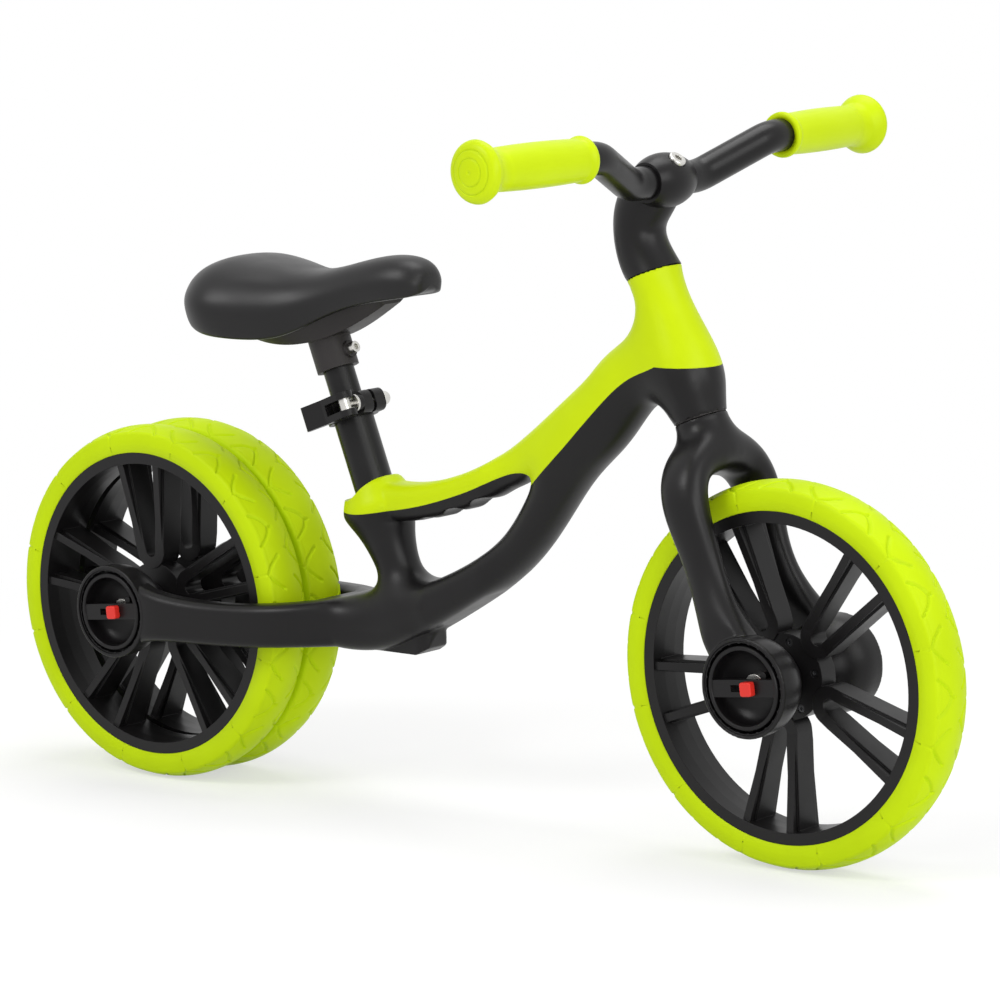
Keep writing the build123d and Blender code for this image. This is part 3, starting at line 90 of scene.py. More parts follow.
class NodeSheet:
    """A material's node tree, with short calls to add and join nodes."""

    def __init__(self, material: bpy.types.Material) -> None:
        """Clear the tree and add its output.

        Args:
            material: The material whose tree is written.
        """
        material.use_nodes = True
        self.tree = material.node_tree
        self.tree.nodes.clear()
        self.output = self.tree.nodes.new("ShaderNodeOutputMaterial")

    def add(self, kind: str, **sockets: object) -> bpy.types.Node:
        """Add a node and set or link its sockets.

        Args:
            kind: Blender's name of the node type.
            sockets: Socket names with underscores for spaces, each a value or an output socket.

        Returns:
            The new node.
        """
        node = self.tree.nodes.new(kind)
        for name, value in sockets.items():
            self.feed(node.inputs[name.replace("_", " ")], value)
        return node

    def feed(self, socket: bpy.types.NodeSocket, value: object) -> None:
        """Give a socket a value or join an output to it.

        Args:
            socket: The input socket.
            value: A number, colour or vector, or another node's output socket.
        """
        if isinstance(value, bpy.types.NodeSocket):
            self.tree.links.new(value, socket)
        else:
            socket.default_value = value

    def noise(self, place: bpy.types.NodeSocket, size: float, detail: float = 3.0) -> bpy.types.NodeSocket:
        """Add noise whose lumps are about one size.

        Args:
            place: The coordinates to sample at.
            size: Width of a lump in metres.
            detail: Octaves of finer noise.

        Returns:
            The noise value, from 0 to 1.
        """
        return self.add("ShaderNodeTexNoise", Vector=place, Scale=1.0 / size, Detail=detail).outputs["Fac"]

    def ranged(self, value: bpy.types.NodeSocket, low: float, high: float) -> bpy.types.NodeSocket:
        """Map the middle of a noise to a range.

        Args:
            value: The noise value.
            low: Result where the noise is NOISE_LOW.
            high: Result where the noise is NOISE_HIGH.

        Returns:
            The mapped value.
        """
        spans = {"From_Min": NOISE_LOW, "From_Max": NOISE_HIGH, "To_Min": low, "To_Max": high}
        return self.add("ShaderNodeMapRange", Value=value, **spans).outputs["Result"]


@dataclass(frozen=True)
class Finish:
    """One surface: its colour, gloss and fine relief.

    Attributes:
        name: Name of the material.
        colour: Main colour, linear.
        drift: Share by which the colour wanders from place to place.
        roughness: Middle roughness.
        spread: How far the roughness wanders to each side.
        grain: How the fine relief is made.
        grain_size: Width of one grain in metres.
        relief: Depth of the grain in metres.
        metallic: 1 for bare metal.
        specular: Reflection level of the surface, 0.5 for plastic.
        edge: Radius to which corners catch the light as rounded.
    """

    name: str
    colour: Colour
    drift: float = 0.06
    roughness: float = 0.45
    spread: float = 0.05
    grain: Grain = Grain.STIPPLE
    grain_size: float = 0.8 * MM
    relief: float = 0.02 * MM
    metallic: float = 0.0
    specular: float = 0.5
    edge: float = 0.7 * MM

    @cache
    def material(self) -> bpy.types.Material:
        """Make the material once and return it each time.

        Returns:
            The material.
        """
        material = bpy.data.materials.new(self.name)
        sheet = NodeSheet(material)
        place = sheet.add("ShaderNodeTexCoord").outputs["Object"]
        shader = sheet.add("ShaderNodeBsdfPrincipled")
        shader.inputs["Metallic"].default_value = self.metallic
        shader.inputs["Specular IOR Level"].default_value = self.specular
        sheet.feed(shader.inputs["Base Color"], self.base_colour(sheet, place))
        cloud = sheet.noise(place, GLOSS_CLOUD)
        sheet.feed(
            shader.inputs["Roughness"],
            sheet.ranged(cloud, self.roughness - self.spread, self.roughness + self.spread),
        )
        edge = sheet.add("ShaderNodeBevel", Radius=self.edge)
        bump = sheet.add(
            "ShaderNodeBump",
            Strength=1.0,
            Distance=self.relief,
            Height=self.height(sheet, place),
            Normal=edge.outputs["Normal"],
        )
        sheet.feed(shader.inputs["Normal"], bump.outputs["Normal"])
        sheet.feed(sheet.output.inputs["Surface"], shader.outputs["BSDF"])
        return material

    def base_colour(self, sheet: NodeSheet, place: bpy.types.NodeSocket) -> bpy.types.NodeSocket:
        """Colour that wanders a little over the surface.

        Args:
            sheet: The tree to write to.
            place: The coordinates to sample at.

        Returns:
            The colour socket.
        """
        ramp = sheet.add("ShaderNodeValToRGB", Fac=sheet.noise(place, COLOUR_CLOUD))
        ends = ((NOISE_LOW, 1 - self.drift), (NOISE_HIGH, 1 + self.drift))
        for element, (position, share) in zip(ramp.color_ramp.elements, ends):
            element.position = position
            element.color = (*(min(1.0, channel * share) for channel in self.colour), 1.0)
        return ramp.outputs["Color"]

    def height(self, sheet: NodeSheet, place: bpy.types.NodeSocket) -> bpy.types.NodeSocket:
        """Fine relief of the surface.

        Args:
            sheet: The tree to write to.
            place: The coordinates to sample at.

        Returns:
            The height socket.
        """
        if self.grain is Grain.STREAKS:
            stretch = sheet.add("ShaderNodeMapping", Vector=place, Scale=STREAK_SCALE)
            return sheet.noise(stretch.outputs["Vector"], self.grain_size)
        if self.grain in (Grain.PORES, Grain.CREASES):
            cells = sheet.add("ShaderNodeTexVoronoi", Vector=place, Scale=1.0 / self.grain_size)
            if self.grain is Grain.CREASES:
                cells.feature = "DISTANCE_TO_EDGE"
            return cells.outputs["Distance"]
        detail = PEEL_DETAIL if self.grain is Grain.PEEL else STIPPLE_DETAIL
        return sheet.noise(place, self.grain_size, detail)


BLACK_MOULDING = Finish(
    name="black_moulding",
    colour=(0.0062, 0.0056, 0.0060),
    drift=0.12,
    roughness=0.36,
    grain_size=0.9 * MM,
    relief=0.014 * MM,
    specular=0.24,
)
BLACK_FLUSH = replace(BLACK_MOULDING, name="black_flush_moulding", edge=0.05 * MM)
BLACK_WHEEL = replace(
    BLACK_MOULDING,
    name="black_wheel_moulding",
    colour=(0.0055, 0.0050, 0.0053),
    roughness=0.38,
    specular=0.26,
)
LIME_MOULDING = Finish(
    name="lime_moulding",
    colour=(0.575, 0.735, 0.0025),
    drift=0.03,
    roughness=0.40,
    spread=0.04,
    grain_size=1.2 * MM,
    relief=0.010 * MM,
    specular=0.13,
)
LIME_FOAM = Finish(
    name="tyre_foam",
    colour=(0.545, 0.735, 0.0025),
    drift=0.03,
    roughness=0.50,
    grain=Grain.PORES,
    grain_size=1.1 * MM,
    specular=0.12,
)
LIME_RUBBER = Finish(
    name="grip_rubber",
    colour=(0.575, 0.745, 0.0025),
    drift=0.03,
    roughness=0.40,
    grain_size=0.7 * MM,
    specular=0.15,
)
BLACK_COAT = Finish(
    name="black_powder_coat",
    colour=(0.0050, 0.0046, 0.0049),
    drift=0.10,
    roughness=0.32,
    spread=0.04,
    grain=Grain.PEEL,
    grain_size=1.4 * MM,
    relief=0.015 * MM,
    specular=0.26,
)
ZINC_PLATE = Finish(
    name="zinc_plate",
    colour=(0.62, 0.61, 0.58),
    roughness=0.28,
    spread=0.06,
    grain=Grain.STREAKS,
    grain_size=0.5 * MM,
    relief=0.01 * MM,
    metallic=1.0,
)
SCREW_STEEL = replace(
    ZINC_PLATE,
    name="blackened_steel",
    colour=(0.10, 0.10, 0.105),
    drift=0.08,
    roughness=0.32,
    spread=0.05,
)
RED_MOULDING = Finish(
    name="red_moulding",
    colour=(0.74, 0.028, 0.018),
    drift=0.04,
    roughness=0.32,
    spread=0.04,
    relief=0.01 * MM,
    specular=0.35,
)
GREY_MOULDING = Finish(
    name="grey_moulding",
    colour=(0.022, 0.019, 0.019),
    drift=0.10,
    roughness=0.5,
    grain_size=0.9 * MM,
    specular=0.30,
)
SADDLE_SKIN = Finish(
    name="saddle_cover",
    colour=(0.0085, 0.0080, 0.0085),
    drift=0.12,
    roughness=0.40,
    grain=Grain.CREASES,
    grain_size=1.3 * MM,
    relief=0.015 * MM,
    specular=0.32,
)


def dress(finish: Finish, *nodes: str) -> None:
    """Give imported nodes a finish.

    Args:
        finish: The finish to give.
        nodes: Names of the nodes.
    """
    for name in nodes:
        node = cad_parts[name]
        node.data.materials.clear()
        node.data.materials.append(finish.material())
        log.info("dressed %s in %s", name, finish.name)


def piece(name: str, points: np.ndarray, faces: list[tuple[int, ...]], finish: Finish) -> bpy.types.Object:
    """Make a smooth mesh object.

    Args:
        name: Name of the piece.
        points: Its points in metres, one row each.
        faces: Point numbers of each face.
        finish: The finish it gets.

    Returns:
        The new object.
    """
    mesh = bpy.data.meshes.new(name)
    mesh.from_pydata(points.tolist(), [], faces)
    mesh.update()
    mesh.shade_smooth()
    mesh.materials.append(finish.material())
    made = bpy.data.objects.new(name, mesh)
    bpy.context.scene.collection.objects.link(made)
    return made


def ring_faces(rows: int, columns: int, closed_rows: bool) -> list[tuple[int, ...]]:
    """Faces of a grid of rings, each ring of the same number of points.

    Args:
        rows: Number of rings.
        columns: Points in each ring.
        closed_rows: True where the last ring joins the first.

    Returns:
        Point numbers of each face.
    """
    faces = []
    for row in range(rows if closed_rows else rows - 1):
        below = row * columns
        above = (row + 1) % rows * columns
        for column in range(columns):
            after = (column + 1) % columns
            faces.append((below + column, below + after, above + after, above + column))
    return faces


def arc_points(start: Spot, middle: Spot, end: Spot, step: float) -> np.ndarray:
    """Points along the arc through three points.

    Args:
        start: First point.
        middle: A point on the way.
        end: Last point.
        step: Rough distance between points.

    Returns:
        The points, one row each, from start to end.
    """
    (ax, ay), (bx, by), (cx, cy) = start, middle, end
    d = 2 * (ax * (by - cy) + bx * (cy - ay) + cx * (ay - by))
    ux = ((ax**2 + ay**2) * (by - cy) + (bx**2 + by**2) * (cy - ay) + (cx**2 + cy**2) * (ay - by)) / d
    uy = ((ax**2 + ay**2) * (cx - bx) + (bx**2 + by**2) * (ax - cx) + (cx**2 + cy**2) * (bx - ax)) / d
    radius = math.hypot(ax - ux, ay - uy)
    first = math.atan2(ay - uy, ax - ux)
    turn = math.remainder(math.atan2(by - uy, bx - ux) - first, math.tau)
    turn += math.remainder(math.atan2(cy - uy, cx - ux) - math.atan2(by - uy, bx - ux), math.tau)
    count = max(2, round(abs(turn) * radius / step) + 1)
    angles = first + turn * np.linspace(0, 1, count)
    return np.stack([ux + radius * np.cos(angles), uy + radius * np.sin(angles)], 1)


def eased(value: np.ndarray, start: float, end: float) -> np.ndarray:
    """Share that goes softly from 0 at start to 1 at end.

    Args:
        value: The values to judge.
        start: Where the share is 0.
        end: Where the share is 1.

    Returns:
        The share at each value.
    """
    share = np.clip((value - start) / (end - start), 0, 1)
    return share * share * (3 - 2 * share)


def smooth_line(points: np.ndarray, steps: int) -> np.ndarray:
    """Smooth line through points.

    Args:
        points: The points, one row each.
        steps: Pieces between two points.

    Returns:
        Points along the line.
    """
    padded = np.concatenate([[2 * points[0] - points[1]], points, [2 * points[-1] - points[-2]]])
    line = []
    for before, start, end, after in zip(padded, padded[1:], padded[2:], padded[3:]):
        for t in np.arange(steps)[:, None] / steps:
            bend = 2 * before - 5 * start + 4 * end - after
            twist = 3 * start - before - 3 * end + after
            line.append(start + 0.5 * t * (end - before + t * (bend + t * twist)))
    return np.array([*line, points[-1]])


def settle(made: bpy.types.Object) -> None:
    """Turn an object's modifiers into its mesh.

    Args:
        made: The object.
    """
    graph = bpy.context.evaluated_depsgraph_get()
    mesh = bpy.data.meshes.new_from_object(made.evaluated_get(graph))
    made.modifiers.clear()
    made.data = mesh


@dataclass(frozen=True)
class Skin:
    """Way to skin moulded nodes as one closed form whose tubes flow into each other.

    Attributes:
        voxel: Width of the skin's faces.
        passes: Smoothing passes where tubes meet.
        swell: How far the skin is let out first, so that smoothing leaves its girth as it was.
        pace: Share of the way to its neighbours' middle that a free point goes in one pass.
    """

    voxel: float
    passes: int
    swell: float
    pace: float = 0.5

    def build(
        self, name: str, nodes: tuple[str, ...], freedom: Callable[[np.ndarray], np.ndarray]
    ) -> bpy.types.Object:
        """Skin the nodes and smooth them where they may be.

        Args:
            name: Name of the skin.
            nodes: Names of the nodes.
            freedom: Gives a share for each point, from 0, where the skin stays as it is, to 1.

        Returns:
            The skin.
        """
        form = bmesh.new()
        for node in nodes:
            form.from_mesh(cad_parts[node].data)
        mesh = bpy.data.meshes.new(name)
        form.to_mesh(mesh)
        form.free()
        skin = bpy.data.objects.new(name, mesh)
        bpy.context.scene.collection.objects.link(skin)
        even = skin.modifiers.new("even_faces", "REMESH")
        even.mode = "VOXEL"
        even.voxel_size = self.voxel
        settle(skin)
        points = np.empty((len(skin.data.vertices), 3))
        skin.data.vertices.foreach_get("co", points.ravel())
        normals = np.empty_like(points)
        skin.data.vertex_normals.foreach_get("vector", normals.ravel())
        edges = np.empty((len(skin.data.edges), 2), np.int64)
        skin.data.edges.foreach_get("vertices", edges.ravel())
        free = freedom(points)[:, None]
        points += normals * free * self.swell
        first, second = np.concatenate([edges, edges[:, ::-1]]).T
        count = np.bincount(first, minlength=len(points))[:, None]
        for _ in range(self.passes):
            sums = [np.bincount(first, points[second, axis], len(points)) for axis in range(3)]
            points += self.pace * free * (np.stack(sums, 1) / count - points)
        skin.data.vertices.foreach_set("co", points.ravel())
        skin.data.update()
        return skin


@dataclass(frozen=True)
class HeadAxis:
    """Line of the steering, side view.

    Attributes:
        foot: Middle of the head's lower end.
        tilt: Lean of the head, in degrees.
        length: Length of the head.
    """

    foot: Spot = (205.5 * MM, 295.2 * MM)
    tilt: float = 21.0
    length: float = 102.0 * MM

    def place(self, points: np.ndarray) -> tuple[np.ndarray, np.ndarray]:
        """Places of points along the head and ahead of it.

        Args:
            points: The points, one row each.

        Returns:
            Height of each point above the head's lower end, and how far ahead of the line it is.
        """
        lean = math.radians(self.tilt)
        from_foot = points[:, [0, 2]] - self.foot
        up = from_foot @ np.array([-math.sin(lean), math.cos(lean)])
        ahead = from_foot @ np.array([math.cos(lean), math.sin(lean)])
        return up, ahead


HEAD = HeadAxis()


def finish_part(part: bpy.types.Object, finish: Finish) -> None:
    """Give a skinned part its finish and its shading.

    Args:
        part: The part.
        finish: The finish it gets.
    """
    part.data.name = part.name
    part.data.materials.clear()
    part.data.materials.append(finish.material())
    part.data.shade_smooth()
    part.data.set_sharp_from_angle(angle=SHARP_ANGLE)


@dataclass(frozen=True)
class Tread:
    """Bracket-shaped grooves in two rows round the tyre.

    Attributes:
        repeats: Pairs of grooves round one row.
        row: Distance of each row from the tyre's middle.
        half_span: Half the length of a groove round the tyre.
        rise: How far a groove's middle stands off its ends.
        tick: Length of the short groove at its middle.
        half_width: Half the width of a groove.
        depth: Depth of a groove.
        columns: Mesh columns in one repeat.
        roundness: Power of the groove's curve, 2 for a parabola.
        lead: How far the row towards +Y runs ahead of the other, in repeats.
    """

    repeats: int = 12
    row: float = 10.5 * MM
    half_span: float = 12.5 * MM
    rise: float = 9.5 * MM
    tick: float = 2.6 * MM
    half_width: float = 1.45 * MM
    depth: float = 1.8 * MM
    columns: int = 90
    roundness: float = 1.6
    lead: float = 0.25

    def bracket(self, turned: int) -> np.ndarray:
        """Points along one groove about its own middle.

        Args:
            turned: 1 with the tick towards +Y, or -1.

        Returns:
            Points round the tyre and across it, one row each.
        """
        along = np.linspace(-1, 1, 61)
        bend = self.rise * (0.5 - np.abs(along) ** self.roundness)
        curve = np.stack([along * self.half_span, turned * bend], 1)
        spur = np.linspace(0, 1, 9) * self.tick + self.rise / 2
        return np.concatenate([curve, np.stack([0 * spur, turned * spur], 1)])

    def relief(self, round_tyre: np.ndarray, across: np.ndarray, pitch: float) -> np.ndarray:
        """How deep the tread is cut at each point.

        Args:
            round_tyre: Distance of each point round the tyre.
            across: Distance of each point from the tyre's middle.
            pitch: Length of one repeat round the tyre.

        Returns:
            The depth at each point.
        """
        nearest = np.full(round_tyre.shape, 1.0)
        for side in (-1, 1):
            for half, turned in ((0.0, 1), (0.5, -1)):
                shift = half + (self.lead if side > 0 else 0.0)
                for x, y in self.bracket(turned):
                    away = np.mod(round_tyre - x - shift * pitch + pitch / 2, pitch) - pitch / 2
                    nearest = np.minimum(nearest, np.hypot(away, across - side * self.row - y))
        return self.depth * eased(nearest, self.half_width, 0.0)


@dataclass
class Wheel:
    """A wheel: foam tyre with its tread, moulded rim and bearings.

    Attributes:
        name: Start of its nodes' names.
        body: The body it turns with.
        tread: The grooves in its tyre.
        crown_edge: How far the tread's edge stands in from the side wall.
        crown_drop: How far the tread falls at its edge.
        corner_tuck: How far the side wall leans in at its top.
        corner_drop: Height of the side wall's top below the crown.
        side_drop: Height of the widest place below the crown.
        wall_bow: Lean of the side wall at its middle, as a share of corner_tuck.
        bend: The corner's middle, as shares of corner_drop and crown_edge.
        lip_drop: Height of the rim's lip below the crown.
        seat_drop: Height of the rim's seat below the crown.
        edge_tuck: How far the edge at the rim is drawn in.
        edge_rise: Height of the small round at that edge.
        edge_round: How far the round's top is drawn in, as a share of edge_tuck.
        seat_tuck: How far the foot in the rim is drawn in.
        wall_step: Distance between points on the side wall.
        corner_step: Distance between points on the corner.
        crown_step: Distance between points on the tread.
    """

    name: str
    body: str
    tread: Tread = Tread()
    crown_edge: float = 4.2 * MM
    crown_drop: float = 3.2 * MM
    corner_tuck: float = 1.2 * MM
    corner_drop: float = 5.2 * MM
    side_drop: float = 13.0 * MM
    wall_bow: float = 0.2
    bend: Spot = (0.76, 0.54)
    lip_drop: float = 18.9 * MM
    seat_drop: float = 23.4 * MM
    edge_tuck: float = 1.4 * MM
    edge_rise: float = 0.5 * MM
    edge_round: float = 0.7
    seat_tuck: float = 5.05 * MM
    wall_step: float = 1.2 * MM
    corner_step: float = 0.6 * MM
    crown_step: float = 0.75 * MM

    def profile(self, radius: float, half: float) -> np.ndarray:
        """Section of the tyre, from the rim's seat round the outside and back.

        Args:
            radius: Outer radius of the tyre.
            half: Half its width.

        Returns:
            Radius and place across for each point.
        """
        side = (radius - self.side_drop, half)
        corner = (radius - self.corner_drop, half - self.corner_tuck)
        edge = (radius - self.crown_drop, half - self.crown_edge)
        wall_middle = ((side[0] + corner[0]) / 2, half - self.wall_bow * self.corner_tuck)
        bend = (radius - self.bend[0] * self.corner_drop, half - self.bend[1] * self.crown_edge)
        wall = arc_points(side, wall_middle, corner, self.wall_step)
        flank = np.concatenate([wall[:-1], arc_points(corner, bend, edge, self.corner_step)])
        top = arc_points(edge, (radius, 0.0), (edge[0], -edge[1]), self.crown_step)
        foot = [
            (radius - self.seat_drop, half - self.seat_tuck),
            (radius - self.lip_drop, half - self.seat_tuck),
            (radius - self.lip_drop, half - self.edge_tuck),
            (radius - self.lip_drop + self.edge_rise, half - self.edge_round * self.edge_tuck),
        ]
        near = np.concatenate([np.array(foot), flank[:-1]])
        far = near[::-1] * (1, -1)
        return np.concatenate([near, top, far])

    def build(self) -> list[bpy.types.Object]:
        """Build the tyre in place of its plain node.

        Returns:
            The tyre alone.
        """
        low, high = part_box(f"{self.name}_tyre")
        centre = (low + high) / 2
        radius = (high.z - low.z) / 2
        section = self.profile(radius, (high.y - low.y) / 2)
        columns = self.tread.repeats * self.tread.columns
        angles = np.arange(columns) / columns * math.tau
        across = np.repeat(section[:, 1][:, None], columns, 1)
        round_tyre = np.repeat((angles * radius)[None, :], len(section), 0)
        outside = section[:, 0] > radius - self.side_drop
        cut = self.tread.relief(round_tyre, across, math.tau * radius / self.tread.repeats)
        reach = section[:, 0][:, None] - cut * outside[:, None]
        points = np.stack(
            [centre.x + reach * np.cos(angles), centre.y + across, centre.z + reach * np.sin(angles)], 2
        ).reshape(-1, 3)
        tyre = piece(f"{self.name}_treaded_tyre", points, ring_faces(len(section), columns, True), LIME_FOAM)
        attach(tyre, self.body)
        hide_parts(f"{self.name}_tyre")
        return [tyre]

    def dress(self) -> None:
        """Finish the rim and the bearings."""
        dress(BLACK_WHEEL, f"{self.name}_rim")
        dress(ZINC_PLATE, f"{self.name}_bearings")


@dataclass
class Grip:
    """A rubber grip with a flange, a soft waist and a ringed end.

    Attributes:
        side: Start of its node's name.
        flange_width: Width of the flange at its inner end.
        flange_step: Length of the slope up to the flange.
        flange_radius: Radius of the flange.
        flange_round: How far the flange's inner and outer edges fall off.
        body_radius: Radius of the body at its ends.
        bulge_radius: Radius of the body at its middle.
        waist_rise: How much thicker than the body's end the waist is.
        waist_length: Length of the waist behind the end knob.
        waist_bend: The waist's bend: place behind the knob and rise over the body's end.
        knob_width: Length of the end knob.
        shoulder: The knob's front: place along it and share of its radius.
        crest: The knob's widest place, as a share of its length.
        knob_back: The knob's back: shares of its length and radius.
        bore_radius: Radius of the bore.
        bore_stop: Thickness of the closed end.
        face_share: Radius of the end's face, as a share of the knob's.
        neck_share: Radius where the knob meets the waist, as a share of the knob's.
        face_dome: How far the face's edge falls back from its middle.
        dome_power: Power of the face's curve.
        rings: Radii of the rings on the end, as shares of the knob's.
        ring_depth: Depth of each ring.
        ring_width: Half the width of each ring.
        dot_radius: Radius of the dimple at the face's middle.
        segments: Mesh columns round the grip.
    """

    side: str
    flange_width: float = 4.0 * MM
    flange_step: float = 1.5 * MM
    flange_radius: float = 15.6 * MM
    flange_round: Spot = (0.6 * MM, 0.8 * MM)
    body_radius: float = 13.9 * MM
    bulge_radius: float = 14.8 * MM
    waist_rise: float = 0.3 * MM
    waist_length: float = 12.0 * MM
    waist_bend: Spot = (3.6 * MM, 0.25 * MM)
    knob_width: float = 16.0 * MM
    shoulder: Spot = (4.6 * MM, 0.94)
    crest: float = 0.50
    knob_back: Spot = (0.78, 0.90)
    bore_radius: float = 11.15 * MM
    bore_stop: float = 7.0 * MM
    face_share: float = 0.80
    neck_share: float = 0.76
    face_dome: float = 2.6 * MM
    dome_power: float = 2.2
    rings: tuple[float, ...] = (0.44, 0.70)
    ring_depth: float = 0.7 * MM
    ring_width: float = 0.45 * MM
    dot_radius: float = 1.1 * MM
    segments: int = 96

    def axis(self) -> tuple[Vector, Vector, float, float]:
        """Line of the grip, read from its plain node.

        Returns:
            The middle of its outer end, the way along it inwards, its length and its largest radius.
        """
        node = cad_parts[f"{self.side}_grip"]
        corners = np.array([node.matrix_world @ vertex.co for vertex in node.data.vertices])
        points = np.unique(corners.round(5), axis=0)
        middle = points.mean(0)
        along = np.linalg.eigh(np.cov((points - middle).T))[1][:, -1]
        if along[1] * middle[1] > 0:
            along = -along
        reach = (points - middle) @ along
        radii = np.linalg.norm(points - middle - np.outer(reach, along), axis=1)
        end = middle + reach.min() * along
        return Vector(end), Vector(along), float(np.ptp(reach)), float(radii.max())

    def profile(self, length: float, knob: float) -> np.ndarray:
        """Outline of the grip from the middle of its end to the bore.

        Args:
            length: Length of the grip.
            knob: Radius of the end knob.

        Returns:
            Place along the grip and radius for each point.
        """
        face_edge = self.face_share * knob
        face = np.linspace(0.012, 1.0, 64) * face_edge
        dome = self.face_dome * (face / face_edge) ** self.dome_power
        for ring in self.rings:
            dome += self.ring_depth * np.exp(-(((face - ring * knob) / self.ring_width) ** 2))
        dome += self.ring_depth * np.exp(-((face / self.dot_radius) ** 2))
        end_face = np.stack([dome, face], 1)
        front = (self.shoulder[0], self.shoulder[1] * knob)
        crest = (self.knob_width * self.crest, knob)
        rear = (self.knob_width * self.knob_back[0], self.knob_back[1] * knob)
        neck = (self.knob_width, self.neck_share * knob)
        outer = arc_points((self.face_dome, face_edge), front, crest, 0.6 * MM)[1:]
        back = arc_points(crest, rear, neck, 0.8 * MM)[1:]
        waist_end = (self.knob_width + self.waist_length, self.body_radius + self.waist_rise)
        bend = (self.knob_width + self.waist_bend[0], self.body_radius + self.waist_bend[1])
        waist = arc_points(neck, bend, waist_end, 1.0 * MM)[1:]
        flange_start = length - self.flange_width - self.flange_step
        bulge = ((waist_end[0] + flange_start) / 2, self.bulge_radius)
        body = arc_points(waist_end, bulge, (flange_start, self.body_radius), 2 * MM)[1:]
        flange = arc_points(
            (flange_start + self.flange_step, self.flange_radius - self.flange_round[0]),
            (length - self.flange_width / 2, self.flange_radius),
            (length, self.flange_radius - self.flange_round[1]),
            0.6 * MM,
        )
        bore = [(length, self.bore_radius), (self.bore_stop, self.bore_radius), (self.bore_stop, 0.02 * knob)]
        return np.concatenate([end_face, outer, back, waist, body, flange, bore])

    def build(self) -> bpy.types.Object:
        """Build the grip in place of its plain node.

        Returns:
            The grip.
        """
        end, along, length, knob = self.axis()
        outline = self.profile(length, knob)
        turn = along.to_track_quat("Z", "Y").to_matrix()
        angles = np.arange(self.segments) / self.segments * math.tau
        rows = []
        for place, radius in outline:
            around = (radius * np.cos(angles), radius * np.sin(angles), np.full(self.segments, place))
            rows.append(np.stack(around, 1) @ np.array(turn).T + np.array(end))
        faces = ring_faces(len(rows), self.segments, True)
        grip = piece(f"{self.side}_rubber_grip", np.concatenate(rows), faces, LIME_RUBBER)
        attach(grip, "steering")
        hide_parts(f"{self.side}_grip")
        return grip


@dataclass
class Steering:
    """Fork, steerer, stem and handlebar with its grips.

    Attributes:
        form: How the fork's skin is made.
        crown_top: Where smoothing starts, measured along the head from its lower end.
        crown_ease: Length over which smoothing sets in below the crown's top.
        leg_end: Where smoothing ends above the bosses, measured the same way.
        leg_ease: Length over which smoothing dies out above there.
    """

    form: Skin = Skin(voxel=1.0 * MM, passes=260, swell=2.4 * MM)
    crown_top: float = -4.0 * MM
    crown_ease: float = 8.0 * MM
    leg_end: float = -146.0 * MM
    leg_ease: float = 22.0 * MM

    def freedom(self, points: np.ndarray) -> np.ndarray:
        """How freely the fork's skin may be smoothed at each point.

        Args:
            points: Points of the skin.

        Returns:
            A share from 0, where the skin stays as it is, to 1.
        """
        up, _ = HEAD.place(points)
        below_crown = eased(up, self.crown_top, self.crown_top - self.crown_ease)
        above_boss = eased(up, self.leg_end, self.leg_end + self.leg_ease)
        return below_crown * above_boss

    def build(self) -> list[bpy.types.Object]:
        """Build the fork and both grips.

        Returns:
            The fork and the grips.
        """
        fork = self.form.build("moulded_fork", ("fork",), self.freedom)
        finish_part(fork, BLACK_MOULDING)
        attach(fork, "steering")
        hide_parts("fork")
        return [fork, Grip("right").build(), Grip("left").build()]

    def dress(self) -> None:
        """Finish the stem, the tubes and the bolt."""
        dress(BLACK_MOULDING, "stem", "front_axle_cap")
        dress(BLACK_COAT, "handlebar", "steerer_tube")
        dress(ZINC_PLATE, "handlebar_bolt", "front_washers")


